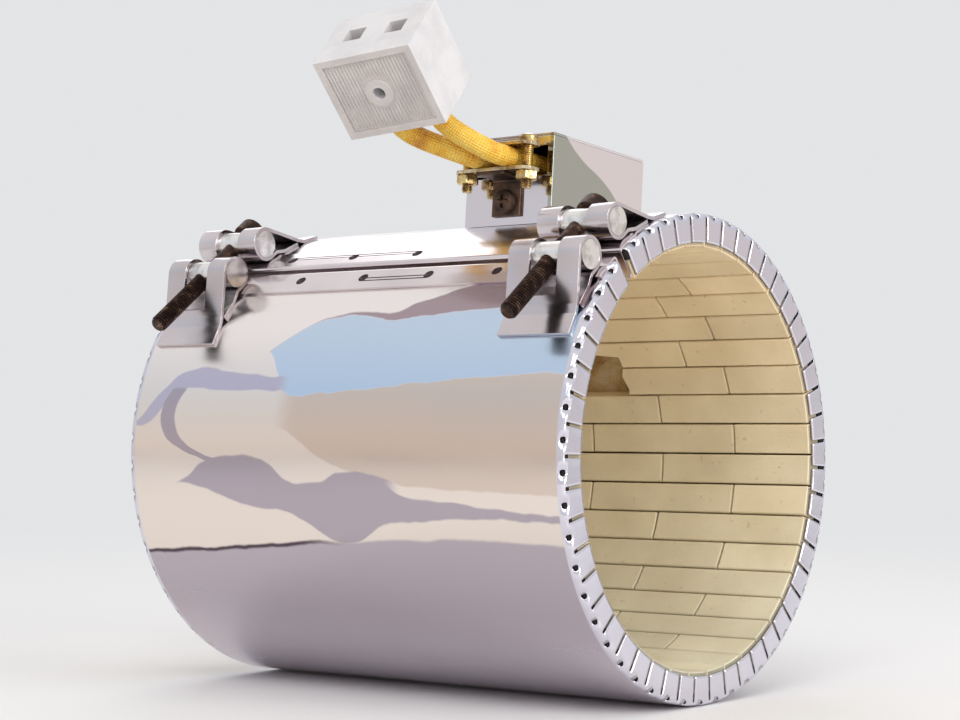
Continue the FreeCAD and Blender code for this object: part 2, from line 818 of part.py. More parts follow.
def make_clamp_fasteners():
    """Two brass screws down through both plates, each with a hexagon nut underneath."""
    radius = size("clamp_screw_radius")
    top = UPPER_LOW + size("plate_thick") + size("seat") / 2
    under = LOWER_TOP - size("plate_thick") - size("seat") / 2
    nut_circle = size("nut_flats") / math.sqrt(3)
    screws = []
    nuts = []
    for side in (-1, 1):
        at = Vector(side * size("clamp_pitch") / 2, PLATE_MIDDLE, 0)
        head = Part.makeCylinder(0.9 * size("nut_flats") / 2, size("pan_height"), at + Vector(0, 0, top))
        slot = Part.makeBox(10, 1, 1, at + Vector(-5, -0.5, top + size("pan_height") - 0.9))
        shank = Part.makeCylinder(
            radius,
            size("clamp_screw_length"),
            at + Vector(0, 0, top),
            Vector(0, 0, -1),
        )
        screws.append(head.cut(slot).fuse(shank).removeSplitter())
        corners = []
        for i in range(7):
            angle = math.radians(60 * i)
            corners.append(
                at
                + Vector(
                    nut_circle * math.cos(angle),
                    nut_circle * math.sin(angle),
                    under - size("nut_height"),
                )
            )
        nut = Part.Face(Part.makePolygon(corners)).extrude(Vector(0, 0, size("nut_height")))
        hole = Part.makeCylinder(radius + size("screw_fit"), 20, at + Vector(0, 0, 0))
        nuts.append(nut.cut(hole))
    for node, solids in (("cord_clamp_screws", screws), ("cord_clamp_nuts", nuts)):
        group = doc.addObject("Part::Feature", node)
        group.Shape = Part.makeCompound(solids)
        group.Placement = BOX_FRAME
        keep(group, node)


# ---------------------------------------------------------------- porcelain block and leads

BLOCK_FRAME = Placement(
    Vector(size("block_x"), size("block_y"), size("block_z")),
    Rotation(size("block_yaw"), size("block_pitch"), size("block_roll")),
)


def make_block():
    """Two-pole porcelain terminal block: two wire channels, screw wells above, a bare label field."""
    body = doc.addObject("PartDesign::Body", "terminal_block")
    plan = new_sketch(body, "block_plan", "XY_Plane")
    draw_rectangle(plan, "Sizes.block_width", "Sizes.block_length")
    pad(body, "block_solid", plan, "Sizes.block_height", both=True)
    poles = ("-Sizes.pole_pitch / 2", "Sizes.pole_pitch / 2")
    channels = new_sketch(body, "channel_section", "XZ_Plane")
    for across in poles:
        draw_rectangle(channels, "Sizes.channel", "Sizes.channel", across, "Sizes.pole_rise")
    pocket(body, "wire_channels", channels, "2 * Sizes.block_length", both=True)
    wells = new_sketch(body, "lead_well_section", "XZ_Plane", "-Sizes.block_length / 2")
    for across in poles:
        draw_circle(wells, "Sizes.lead_well_radius", across, "Sizes.pole_rise")
    pocket(body, "lead_wells", wells, "2 * Sizes.lead_well_depth", both=True)
    access = new_sketch(body, "screw_well_plan", "XY_Plane", "Sizes.block_height / 2")
    for across in poles:
        for along in ("-Sizes.terminal_screw_spread / 2", "Sizes.terminal_screw_spread / 2"):
            draw_circle(access, "Sizes.screw_well_radius", across, along)
    pocket(
        body,
        "screw_wells",
        access,
        "Sizes.block_height / 2 - Sizes.pole_rise - Sizes.channel / 2 + 0.5",
    )
    field = new_sketch(body, "label_plan", "XY_Plane", "-Sizes.block_height / 2")
    draw_rectangle(
        field,
        "Sizes.block_width - 2 * Sizes.label_rim",
        "Sizes.block_length - 2 * Sizes.label_rim",
    )
    draw_circle(field, "Sizes.boss_radius")
    pocket(body, "label_field", field, "2 * Sizes.label_depth", both=True)
    hole = new_sketch(body, "mounting_hole_plan", "XY_Plane")
    draw_circle(hole, "Sizes.block_hole_radius")
    pocket(body, "mounting_hole", hole, "2 * Sizes.block_height", both=True)
    body.Placement = BLOCK_FRAME
    return keep(body, "terminal_block")


def make_terminals():
    """Square brass connectors in the channels, with a wire bore and two slotted screws each."""
    side = size("channel") - 2 * size("seat")
    long = size("terminal_length")
    rise = size("pole_rise")
    bars = []
    screws = []
    for pole in (-1, 1):
        middle = Vector(pole * size("pole_pitch") / 2, 0, rise)
        corner = middle + Vector(-side / 2, -long / 2, -side / 2)
        bar = Part.makeBox(side, long, side, corner)
        bore = Part.makeCylinder(
            size("terminal_bore"), 2 * long, middle + Vector(0, -long, 0), Vector(0, 1, 0)
        )
        bar = bar.cut(bore)
        for end in (-1, 1):
            at = middle + Vector(0, end * size("terminal_screw_spread") / 2, side / 2)
            top = at + Vector(0, 0, size("seat") / 2)
            head = Part.makeCylinder(size("screw_well_radius") - 0.3, 2.2, top)
            slot = Part.makeBox(8, 0.9, 1.0, top + Vector(-4, -0.45, 1.4))
            screws.append(head.cut(slot))
        bars.append(bar)
    for node, solids in (("brass_terminals", bars), ("terminal_screws", screws)):
        group = doc.addObject("Part::Feature", node)
        group.Shape = Part.makeCompound(solids)
        group.Placement = BLOCK_FRAME
        keep(group, node)


def lead_path(points, setbacks):
    """Straight runs joined by tangent arcs; prints the radius of each arc."""
    edges = []
    here = points[0]
    for i in range(1, len(points) - 1):
        one = (points[i] - points[i - 1]).normalize()
        two = (points[i + 1] - points[i]).normalize()
        turn = math.acos(one.dot(two))
        setback = setbacks[i - 1]
        radius = setback / math.tan(turn / 2)
        enter = points[i] - one * setback
        leave = points[i] + two * setback
        inward = (two - one).normalize()
        middle = points[i] + inward * (radius / math.cos(turn / 2) - radius)
        edges.append(Part.LineSegment(here, enter).toShape())
        edges.append(Part.Arc(enter, middle, leave).toShape())
        print("lead bend radius %.1f mm over %.0f degrees" % (radius, math.degrees(turn)))
        here = leave
    edges.append(Part.LineSegment(here, points[-1]).toShape())
    return Part.Wire(edges)


def make_leads():
    """Two stiff sleeved leads, from inside the box through the cord clamp to the block's wells."""
    well = size("block_length") / 2 - size("lead_well_depth")
    cores = []
    for node, side in (("lead_left", -1), ("lead_right", 1)):
        across = side * size("pole_pitch") / 2
        rise = size("pole_rise")
        end = BLOCK_FRAME.multVec(Vector(across, well + size("seat"), rise))
        bend_out = BLOCK_FRAME.multVec(Vector(across, size("block_length") / 2 + 9.2, rise))
        clamp_x = side * size("lead_pitch") / 2
        bend_in = BOX_FRAME.multVec(Vector(clamp_x, PLATE_MIDDLE - 12.3, LEAD_HEIGHT))
        inside = BOX_FRAME.multVec(Vector(clamp_x, 12, LEAD_HEIGHT))
        path = lead_path([end, bend_out, bend_in, inside], [8.6, 7.6])
        along = (bend_out - end).normalize()
        ring = Part.Wire(Part.Circle(end, along, size("lead_radius")).toShape())
        solid = path.makePipeShell([ring], True, False)
        expected = math.pi * size("lead_radius") ** 2 * path.Length
        print("%s: %.1f mm long, volume %.4f of its section times length"
              % (node, path.Length, solid.Volume / expected))
        lead = doc.addObject("Part::Feature", node)
        lead.Shape = solid
        keep(lead, node)
        core = Part.makeCylinder(
            size("core_radius"),
            size("core_length"),
            Vector(across, well, rise),
            Vector(0, -1, 0),
        )
        cores.append(core)
    group = doc.addObject("Part::Feature", "lead_conductors")
    group.Shape = Part.makeCompound(cores)
    group.Placement = BLOCK_FRAME
    keep(group, "lead_conductors")


# ---------------------------------------------------------------- assembly


def build():
    """Make every sub-part."""
    make_jacket()
    make_blanket()
    make_tile_courses()
    pitch = size("dimple_pitch")
    make_gap_strip("near_gap_strip", -1, [pitch * k + 6 for k in (-1.5, -0.5, 0.5, 1.5)])
    make_gap_strip("far_gap_strip", 1, [pitch * k - 22 for k in (-1, 0, 1)])
    half = size("clamp_spacing") / 2
    for end, x in (("left", -half), ("right", half)):
        make_clamp_loop("near_clamp_loop_" + end, -1, x)
        make_clamp_loop("far_clamp_loop_" + end, 1, x)
        make_barrel("threaded_barrel_" + end, -1, x)
        make_barrel("plain_barrel_" + end, 1, x)
        make_clamp_screw("clamp_screw_" + end, x)
    make_box()
    make_lid()
    facing_out = Rotation(Vector(0, 0, 1), -90)
    make_pan_screw(
        "foot_screw",
        Vector(0, -size("seat") - size("plate_thick"), size("foot_screw_height")),
        facing_out,
        "6",
    )
    make_pan_screw(
        "lid_screw",
        Vector(0, size("lid_screw_from_front"), size("box_height") + size("seat")),
        Rotation(Vector(0, 1, 0), -90),
        "6",
    )
    make_clamp_foot()
    make_clamp_plate("cord_clamp_lower_plate", LOWER_TOP - size("plate_thick"))
    make_clamp_plate("cord_clamp_upper_plate", UPPER_LOW)
    make_clamp_fasteners()
    make_block()
    make_terminals()
    make_leads()


def check_and_write():
    """Stop on any failed object or bad shape, then write each sub-part to its own file."""
    doc.recompute()
    for obj in doc.Objects:
        if "Invalid" in obj.State or "Error" in obj.State:
            raise RuntimeError("%s failed: %s" % (obj.Name, obj.State))
    for obj in SUBPARTS:
        if obj.Shape.isNull() or not obj.Shape.isValid() or not obj.Shape.Solids:
            raise RuntimeError("%s has no good shape" % obj.Label)
    os.makedirs("parts", exist_ok=True)
    for obj in SUBPARTS:
        obj.Shape.exportStep("parts/%s.step" % obj.Label)
        box = obj.Shape.BoundBox
        print(
            "%-24s %3d solids %9.0f mm3  x %6.1f %6.1f  y %6.1f %6.1f  z %6.1f %6.1f"
            % (
                obj.Label,
                len(obj.Shape.Solids),
                obj.Shape.Volume,
                box.XMin,
                box.XMax,
                box.YMin,
                box.YMax,
                box.ZMin,
                box.ZMax,
            )
        )
    print("%d sub-parts written" % len(SUBPARTS))


build()
check_and_write()
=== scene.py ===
# %% [markdown]
# # A ceramic band heater
# This heater closes round the barrel of a moulding machine. A sheet jacket holds rows of ceramic
# tiles, two screw clamps pull the gap shut, and a porcelain block brings the mains to two leads.
# The construction is already solved as a frame of solid bodies. Here each visible part gets the
# form and the finish that the solids leave out, in the same place and in metres.

# %% Load the frame
import json
import math
import random

import bmesh
import bpy
from mathutils import Matrix, Vector


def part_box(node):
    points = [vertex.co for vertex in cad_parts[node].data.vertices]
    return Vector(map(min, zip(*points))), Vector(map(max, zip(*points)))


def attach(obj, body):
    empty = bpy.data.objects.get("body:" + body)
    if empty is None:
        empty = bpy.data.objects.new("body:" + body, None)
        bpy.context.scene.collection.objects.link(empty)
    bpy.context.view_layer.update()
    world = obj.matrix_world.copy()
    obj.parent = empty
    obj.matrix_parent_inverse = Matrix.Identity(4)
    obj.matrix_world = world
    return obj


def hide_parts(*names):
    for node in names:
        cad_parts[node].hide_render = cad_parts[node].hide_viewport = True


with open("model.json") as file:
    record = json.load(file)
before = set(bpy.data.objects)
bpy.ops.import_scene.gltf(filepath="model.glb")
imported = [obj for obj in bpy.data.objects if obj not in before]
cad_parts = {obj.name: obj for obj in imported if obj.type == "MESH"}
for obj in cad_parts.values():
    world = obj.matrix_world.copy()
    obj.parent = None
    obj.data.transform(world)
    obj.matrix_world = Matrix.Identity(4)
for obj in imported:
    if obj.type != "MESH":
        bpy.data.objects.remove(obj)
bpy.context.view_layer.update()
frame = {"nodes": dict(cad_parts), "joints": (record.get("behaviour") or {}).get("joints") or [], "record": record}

# %% [markdown]
# ## Sizes that everything shares
# The frame already knows the real sizes, so they are read from it and not typed again. The band
# is a tube along X. Places on it are easiest to say as an angle from the top towards the front
# and a distance from the middle of the bore.

# %% Sizes from the frame
MM = 0.001
HALF_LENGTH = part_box("jacket")[1].x
JACKET_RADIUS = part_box("jacket")[1].z
BORE_RADIUS = frame["record"]["mounts"][0]["dims"]["r_mm"] * MM
GAP_DEGREES = 37.0
SHEET = 0.8 * MM


def on_band(x, degrees, radius):
    """A point at an angle from the top of the band towards the front."""
    angle = math.radians(degrees)
    return Vector((x, -radius * math.sin(angle), radius * math.cos(angle)))


def from_gap(x, degrees, radius):
    """The same, with the angle counted from the middle of the gap."""
    return on_band(x, GAP_DEGREES + degrees, radius)


print("band %.0f mm long, %.0f mm over the jacket" % (2000 * HALF_LENGTH, 2000 * JACKET_RADIUS))

# %% [markdown]
# ## Camera, floor and light
# A long lens from a little over a metre keeps the tube's two ends nearly the same size, as in a
# catalogue picture. The floor is one pale sheet that turns into a plain glow far from the object,
# so no horizon cuts behind it. Polished sheet shows whatever surrounds it, so the world is not one
# flat white: it goes from a warm floor colour through beige to a cool sky, all very soft.

# %% Camera
scene = bpy.context.scene
camera = bpy.data.objects.new("camera", bpy.data.cameras.new("camera"))
scene.collection.objects.link(camera)
camera.location = (0.49097, -0.63396, 0.01203)
camera.rotation_euler = (math.radians(90 + 1.576), 0, math.radians(37.781))
camera.data.sensor_width = 36
camera.data.lens = 84.56
camera.data.clip_start = 0.05
scene.camera = camera
scene.view_settings.view_transform = "Standard"
print("camera %.2f m from the bore's middle" % camera.location.length)

# %% Node helpers


def new_material(name):
    """A node material with all its nodes cleared."""
    material = bpy.data.materials.new(name)
    material.use_nodes = True
    material.node_tree.nodes.clear()
    return material


def add(material, kind, settings=None, **inputs):
    """Add a node, set its fields, then link or fill its inputs by name."""
    node = material.node_tree.nodes.new(kind)
    for field, value in (settings or {}).items():
        setattr(node, field, value)
    for key, value in inputs.items():
        name = key.replace("_", " ")
        socket = node.inputs[int(key[1:])] if key[1:].isdigit() else node.inputs[name]
        if isinstance(value, bpy.types.NodeSocket):
            material.node_tree.links.new(value, socket)
        else:
            socket.default_value = value
    return node


def maths(material, operation, first, second=0.0):
    """One sum of two numbers or sockets."""
    return add(material, "ShaderNodeMath", {"operation": operation}, i0=first, i1=second).outputs[0]


def ramp(material, factor, stops, interpolation="LINEAR"):
    """A colour ramp with its stops given as (place, colour)."""
    node = add(material, "ShaderNodeValToRGB", Fac=factor)
    node.color_ramp.interpolation = interpolation
    elements = node.color_ramp.elements
    while len(elements) < len(stops):
        elements.new(0.5)
    for element, (place, colour) in zip(elements, stops):
        element.position = place
        element.color = (*colour, 1) if len(colour) == 3 else colour
    return node.outputs["Color"]


def mix(material, factor, first, second, blend="MIX"):
    """Two colours mixed by a factor."""
    node = add(material, "ShaderNodeMix", {"data_type": "RGBA", "blend_type": blend})
    for socket, value in ((node.inputs[0], factor), (node.inputs[6], first), (node.inputs[7], second)):
        if isinstance(value, bpy.types.NodeSocket):
            material.node_tree.links.new(value, socket)
        else:
            socket.default_value = (*value, 1) if isinstance(value, tuple) else value
    return node.outputs[2]


def place_coordinates(material, stretch=(1, 1, 1)):
    """Object coordinates in metres, stretched along each axis."""
    coordinates = add(material, "ShaderNodeTexCoord")
    return add(
        material, "ShaderNodeMapping", Vector=coordinates.outputs["Object"], Scale=stretch
    ).outputs[0]


def noise(material, scale, detail=3.0, stretch=(1, 1, 1), roughness=0.5, distortion=0.0):
    """Cloudy noise in the object's own coordinates."""
    return add(
        material,
        "ShaderNodeTexNoise",
        Vector=place_coordinates(material, stretch),
        Scale=scale,
        Detail=detail,
        Roughness=roughness,
        Distortion=distortion,
    ).outputs["Fac"]


def bump(material, height, distance, strength=1.0):
    """Turn a height into a bent normal."""
    return add(
        material, "ShaderNodeBump", Height=height, Distance=distance, Strength=strength
    ).outputs[0]


def surface(material, **inputs):
    """Close the material with one principled shader."""
    shader = add(material, "ShaderNodeBsdfPrincipled", **inputs)
    add(material, "ShaderNodeOutputMaterial", Surface=shader.outputs[0])
    return material


print("node helpers ready")

# %% World and lamps
world = bpy.data.worlds.new("soft_room")
scene.world = world
world.use_nodes = True
world.node_tree.nodes.clear()
direction = add(world, "ShaderNodeTexCoord")
height = add(world, "ShaderNodeSeparateXYZ", Vector=direction.outputs["Generated"]).outputs["Z"]
room = ramp(
    world,
    maths(world, "MULTIPLY_ADD", height, 0.5),
    [
        (0.00, (0.66, 0.60, 0.62)),
        (0.46, (0.78, 0.70, 0.70)),
        (0.54, (0.92, 0.86, 0.82)),
        (0.70, (0.82, 0.88, 0.96)),
        (0.85, (1.00, 0.99, 0.98)),
    ],
)
room.node.inputs[0].links[0].from_node.inputs[2].default_value = 0.5
PALE = (0.90, 0.915, 0.93)
seen = add(world, "ShaderNodeLightPath").outputs["Is Camera Ray"]
add(
    world,
    "ShaderNodeOutputWorld",
    Surface=add(
        world, "ShaderNodeBackground", Color=mix(world, seen, room, PALE), Strength=0.85
    ).outputs[0],
)


def soft_lamp(name, place, target, size, watts, colour=(1, 1, 1)):
    """A square area lamp that faces a point."""
    lamp = bpy.data.lights.new(name, "AREA")
    lamp.size = size
    lamp.energy = watts
    lamp.color = colour
    obj = bpy.data.objects.new(name, lamp)
    scene.collection.objects.link(obj)
    obj.location = place
    obj.rotation_euler = (Vector(target) - Vector(place)).to_track_quat("-Z", "Y").to_euler()
    return obj


soft_lamp("key_lamp", (0.55, -1.0, 1.0), (0, 0, 0.02), 0.7, 5.5, (1.0, 0.97, 0.93))
soft_lamp("side_lamp", (1.35, -0.15, 0.45), (0, 0, 0), 0.6, 8.0, (1.0, 0.99, 0.96))
soft_lamp("back_lamp", (-0.9, 1.0, 1.0), (0, 0, 0), 0.9, 3.0)
print("three lamps and a soft room")

# %% Floor
FLOOR = -JACKET_RADIUS - 0.3 * MM
floor_mesh = bpy.data.meshes.new("floor")
REACH = 14.0
floor_mesh.from_pydata(
    [(-REACH, -REACH, FLOOR), (REACH, -REACH, FLOOR), (REACH, REACH, FLOOR), (-REACH, REACH, FLOOR)],
    [],
    [(0, 1, 2, 3)],
)
floor = bpy.data.objects.new("floor", floor_mesh)
scene.collection.objects.link(floor)
paper = new_material("pale_paper")
spot = add(paper, "ShaderNodeTexCoord").outputs["Object"]
away = add(paper, "ShaderNodeVectorMath", {"operation": "LENGTH"}, i0=spot).outputs["Value"]
fade = add(
    paper, "ShaderNodeMapRange", {"interpolation_type": "SMOOTHSTEP"},
    Value=away, From_Min=0.25, From_Max=1.4,
).outputs[0]
light_path = add(paper, "ShaderNodeLightPath")
glow = maths(paper, "MULTIPLY", fade, light_path.outputs["Is Camera Ray"])
sheet_of_paper = add(
    paper, "ShaderNodeBsdfPrincipled", Base_Color=(0.80, 0.79, 0.79, 1), Roughness=0.9
)
far_paper = add(paper, "ShaderNodeEmission", Color=(*PALE, 1), Strength=0.85)
add(
    paper,
    "ShaderNodeOutputMaterial",
    Surface=add(
        paper, "ShaderNodeMixShader", i0=glow, i1=sheet_of_paper.outputs[0], i2=far_paper.outputs[0]
    ).outputs[0],
)
floor_mesh.materials.append(paper)
print("floor at %.1f mm" % (1000 * FLOOR))

# %% [markdown]
# ## Making and joining pieces
# Two ways of making a piece are used all through. One builds a mesh from points and faces. The
# other copies the mesh of a frame node, joins its loose faces, and rolls its edges over with a
# bevel, because real sheet and real castings never end in a perfect edge, and the thin bright
# line along an edge is what makes metal look like metal.

# %% Piece helpers


def finish_piece(obj, material, body, nodes=(), smooth=40):
    """Give a piece its material and its body, and hide the frame nodes that it stands for."""
    obj.data.materials.clear()
    obj.data.materials.append(material)
    obj.data.shade_smooth()
    obj.data.set_sharp_from_angle(angle=math.radians(smooth))
    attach(obj, body)
    if nodes:
        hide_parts(*nodes)
    return obj


def piece(name, points, faces, material, body="heater", nodes=(), slot=None, smooth=40):
    """A new piece from points and faces."""
    mesh = bpy.data.meshes.new(name)
    mesh.from_pydata([tuple(p) for p in points], [], faces)
    mesh.validate()
    work = bmesh.new()
    work.from_mesh(mesh)
    bmesh.ops.recalc_face_normals(work, faces=work.faces)
    work.to_mesh(mesh)
    work.free()
    obj = bpy.data.objects.new(name, mesh)
    scene.collection.objects.link(obj)
    return finish_piece(obj, material, body, nodes, smooth)


def joined_copy(node):
    """The frame node's mesh as a clean closed mesh with flat faces made whole again."""
    work = bmesh.new()
    work.from_mesh(frame["nodes"][node].data)
    bmesh.ops.remove_doubles(work, verts=work.verts, dist=2e-6)
    bmesh.ops.dissolve_limit(
        work, angle_limit=math.radians(0.6), verts=work.verts, edges=work.edges
    )
    return work


def rolled_edges(name, node, material, width, body="heater", segments=2, angle=35):
    """A copy of a frame node with every sharp edge rolled over by a bevel."""
    work = joined_copy(node)
    mesh = bpy.data.meshes.new(name)
    work.to_mesh(mesh)
    work.free()
    if "custom_normal" in mesh.attributes:
        mesh.attributes.remove(mesh.attributes["custom_normal"])
    obj = bpy.data.objects.new(name, mesh)
    scene.collection.objects.link(obj)
    roll = obj.modifiers.new("rolled_edge", "BEVEL")
    roll.width = width
    roll.segments = segments
    roll.limit_method = "ANGLE"
    roll.angle_limit = math.radians(angle)
    roll.use_clamp_overlap = True
    finish_piece(obj, material, body, (node,), smooth=angle)
    even = obj.modifiers.new("even_normals", "WEIGHTED_NORMAL")
    even.keep_sharp = True
    return obj


def paint_node(node, material):
    """A frame node that keeps its own mesh and only gets a better finish."""
    obj = frame["nodes"][node]
    obj.data.materials.clear()
    obj.data.materials.append(material)


print("piece helpers ready")

# %% [markdown]
# ## Polished stainless steel
# Mirror-rolled sheet has almost no colour of its own. What we see is the room, bent by the slight
# waves that rolling leaves in thin sheet. So the shader is nearly smooth metal, its normal is bent
# by very long soft waves, and its tint drifts between pink-white, pale blue, beige and mauve in
# broad patches that follow the sheet. On the jacket and the box those patches are painted
# reflection of the room, with painted shadows and a painted highlight among them.

# %% Polished sheet


def band_angle(material):
    """The angle from the top towards the front, from -180 to 180 degrees, as a socket."""
    coordinates = add(material, "ShaderNodeTexCoord").outputs["Object"]
    parts = add(material, "ShaderNodeSeparateXYZ", Vector=coordinates)
    front = maths(material, "MULTIPLY", parts.outputs["Y"], -1.0)
    radians = maths(material, "ARCTAN2", front, parts.outputs["Z"])
    return maths(material, "MULTIPLY", radians, 180 / math.pi), parts.outputs["X"]


def bent(material, value, bends, low, high):
    """A smooth curve of one number against another, from (value, result) pairs."""
    share = add(material, "ShaderNodeMapRange", Value=value, From_Min=low, From_Max=high).outputs[0]
    node = add(material, "ShaderNodeFloatCurve", Value=share)
    curve = node.mapping.curves[0]
    while len(curve.points) < len(bends):
        curve.points.new(0.5, 0.5)
    for point, (place, result) in zip(curve.points, bends):
        point.location = ((place - low) / (high - low), result / 180)
    node.mapping.update()
    return maths(material, "MULTIPLY", node.outputs[0], 180.0)


def past(material, value, edge, soft=0.5):
    """One where a value has gone past an edge, zero before it, with a soft step."""
    beyond = maths(material, "SUBTRACT", value, edge)
    return add(
        material, "ShaderNodeMapRange", {"interpolation_type": "SMOOTHSTEP"},
        Value=beyond, From_Min=-soft, From_Max=soft,
    ).outputs[0]


def painted_jacket_reflection(material):
    """Painted reflection: the sky, a hill, a wall and their shadows over a dull ground, as the sheet mirrors them."""
    turn, x = band_angle(material)
    along = maths(material, "MULTIPLY", x, 1000.0)
    ripple = maths(material, "SUBTRACT", noise(material, 55.0, 3.0), 0.5)
    angle = maths(material, "ADD", turn, maths(material, "MULTIPLY", ripple, 3.2))

    def edge(*bends):
        return bent(material, along, bends, -100.0, 100.0)

    def between(upper, lower, soft=0.35):
        inside = past(material, angle, upper, soft)
        outside = past(material, angle, lower, soft)
        return maths(material, "MULTIPLY", inside, maths(material, "SUBTRACT", 1.0, outside))

    def from_left(place, soft):
        return past(material, along, place, soft)

    def only(mask, other):
        return maths(material, "MULTIPLY", mask, other)

    # Every colour below is painted reflection of the room, fixed to the sheet.
    white, lilac, sky = (0.93, 0.87, 0.86), (0.58, 0.54, 0.65), (0.58, 0.70, 0.86)
    cream, wall, hill = (0.86, 0.77, 0.70), (0.73, 0.61, 0.53), (0.42, 0.33, 0.36)
    mauve, ground = (0.48, 0.42, 0.47), (0.52, 0.46, 0.51)
    height = maths(material, "DIVIDE", maths(material, "ADD", angle, 180.0), 360.0)
    colour = ramp(
        material, height,
        [(0.00, ground), (0.17, ground), (0.25, cream), (0.34, sky), (0.42, white), (0.66, white),
         (0.72, cream), (0.80, cream)],
    )
    sky_top = edge((-100, 64), (-36, 64), (-26, 59), (-15, 54.8), (0, 54.2), (14, 55.6), (30, 54.6), (100, 54))
    sky_foot = edge((-100, 63.9), (-34, 64), (-28, 69), (-24, 73.8), (0, 73.9), (27, 72.6), (53, 71.6), (100, 70.4))
    hill_top = edge((-100, 64), (-36, 64), (-26, 59), (-15, 54.5), (0, 53.2), (15, 53.4), (24, 50.6), (44, 45.4), (100, 45))
    wall_foot = edge((-100, 82), (-22, 83), (-9, 88), (1, 91.3), (20, 94.6), (60, 96.6), (100, 98))
    shade_top = edge((-100, 96), (-68, 95.6), (-57, 90.6), (-44, 89.6), (-27, 91.3), (-20, 94.6), (-4, 95.2), (3, 93.4),
                     (20, 94.2), (40, 98.2), (100, 102))
    shade_foot = edge((-100, 96), (-67, 96.4), (-49, 99.4), (-34, 102), (-19, 102.6), (-3, 108.6), (8, 109), (20, 105.2),
                      (38, 104), (100, 103.4))
    gleam_top = edge((-100, 96), (20, 95.0), (40, 96.8), (100, 101.4))
    gleam_foot = edge((-100, 96), (20, 95.4), (30, 98.0), (60, 99.8), (100, 102))
    ribbon_top = edge((-100, 82), (-92, 81), (-80, 73), (-72, 68.4), (-50, 68.6), (-26, 70.4), (100, 72))
    ribbon_foot = edge((-100, 82), (-92, 82), (-84, 81), (-74, 74), (-60, 73.2), (-26, 73.9), (100, 73))
    # A winding band of painted shadow on the left; it joins the painted shadows between shade_top and shade_foot.
    winding_painted_shadow = bent(material, angle, [(60, 26), (72, 28), (78, 24), (83, 25), (87, 31), (90, 44), (93, 60)], 60.0, 93.0)
    winding_painted_shadow = maths(material, "ABSOLUTE", maths(material, "SUBTRACT", maths(material, "ADD", along, 100.0), winding_painted_shadow))
    winding_painted_shadow = maths(material, "SUBTRACT", 1.0, past(material, winding_painted_shadow, 3.4, 0.5))
    winding_painted_shadow = only(winding_painted_shadow, only(past(material, angle, 73.0), maths(material, "SUBTRACT", 1.0, past(material, angle, 92.0))))
    ribbon = only(between(ribbon_top, ribbon_foot), maths(material, "SUBTRACT", 1.0, from_left(-24.0, 3.0)))
    shadows = maths(material, "MAXIMUM", between(shade_top, shade_foot), winding_painted_shadow)
    colour = mix(material, only(between(sky_foot, wall_foot), from_left(-22.0, 6.0)), colour, wall)
    rightward = from_left(-34.5, 0.8)
    colour = mix(material, only(between(hill_top, sky_top), rightward), colour, hill)
    colour = mix(material, only(between(sky_top, sky_foot), rightward), colour, sky)
    colour = mix(material, ribbon, colour, lilac)
    colour = mix(material, shadows, colour, mauve)
    # A cream streak of painted highlight on the right.
    colour = mix(material, only(between(gleam_top, gleam_foot), from_left(26.0, 4.0)), colour, cream)
    # Below the horizon the painted reflection of the ground is duller, with a dark painted horizon line on the left.
    horizon = edge((-100, 114.6), (-30, 111.4), (0, 109.4), (100, 108.2))
    low_down = past(material, angle, 142.0, 18.0)
    dull = mix(material, low_down, ground, (0.80, 0.74, 0.80))
    colour = mix(material, past(material, angle, horizon, 0.5), colour, dull)
    line = maths(material, "ABSOLUTE", maths(material, "SUBTRACT", angle, horizon))
    line = maths(material, "SUBTRACT", 1.0, past(material, line, 0.45, 0.35))
    line = only(line, maths(material, "SUBTRACT", 1.0, from_left(-5.0, 14.0)))
    colour = mix(material, line, colour, (0.10, 0.07, 0.09))
    # The tab faces at both ends get a silver-lilac painted reflection tone.
    ends = maths(material, "ABSOLUTE", along)
    tabs = past(material, ends, 1000 * HALF_LENGTH - 2.6, 0.3)
    return mix(material, tabs, colour, (0.74, 0.72, 0.80))


def polished_sheet(name, tint, waves=0.35, rough=0.09, wave_scale=16.0):
    """Mirror sheet: metal, long waves in its normal, fine smears in its roughness."""
    material = new_material(name)
    colour = tint(material) if callable(tint) else mix(
        material,
        ramp(material, noise(material, 24.0, 3.0), [(0.35, (0, 0, 0)), (0.65, (1, 1, 1))]),
        tint,
        tuple(0.82 * c for c in tint),
    )
    long_waves = noise(material, wave_scale, 1.0, (0.7, 1, 1))
    smears = ramp(
        material,
        noise(material, 60.0, 4.0, (0.3, 1, 1)),
        [(0.35, (rough,) * 3), (0.75, (rough * 2.2,) * 3)],
    )
    return surface(
        material,
        Base_Color=colour,
        Metallic=1.0,
        Roughness=smears,
        Normal=bump(material, long_waves, 4 * MM, waves),
    )


JACKET_FINISH = polished_sheet("jacket_polished_sheet", painted_jacket_reflection, waves=0.22, rough=0.14)
STRIP_FINISH = polished_sheet("strip_polished_sheet", (0.86, 0.78, 0.80), waves=0.25, rough=0.12)


def painted_box_reflection(material):
    """Painted reflection: a grey-green bank mirrored in the front part of the box's side, pale lilac behind it."""
    parts = add(material, "ShaderNodeSeparateXYZ", Vector=place_coordinates(material))
    depth = maths(material, "MULTIPLY", parts.outputs["Y"], 1000.0)
    height = maths(material, "MULTIPLY", parts.outputs["Z"], 1000.0)
    bank = bent(material, height, [(82, 38), (90, 33), (97, 24), (103, 12), (110, 3)], 82.0, 112.0)
    behind = past(material, depth, maths(material, "SUBTRACT", bank, 6.0), 0.5)
    # Left of 38.5 mm the box gets one pinkish-grey painted reflection tone; the side panel beyond gets the two-tone
    # one.
    side = past(material, maths(material, "MULTIPLY", parts.outputs["X"], 1000.0), 38.5, 0.3)
    tone = mix(material, behind, (0.46, 0.47, 0.42), (0.86, 0.80, 0.81))
    return mix(material, side, (0.74, 0.70, 0.74), tone)


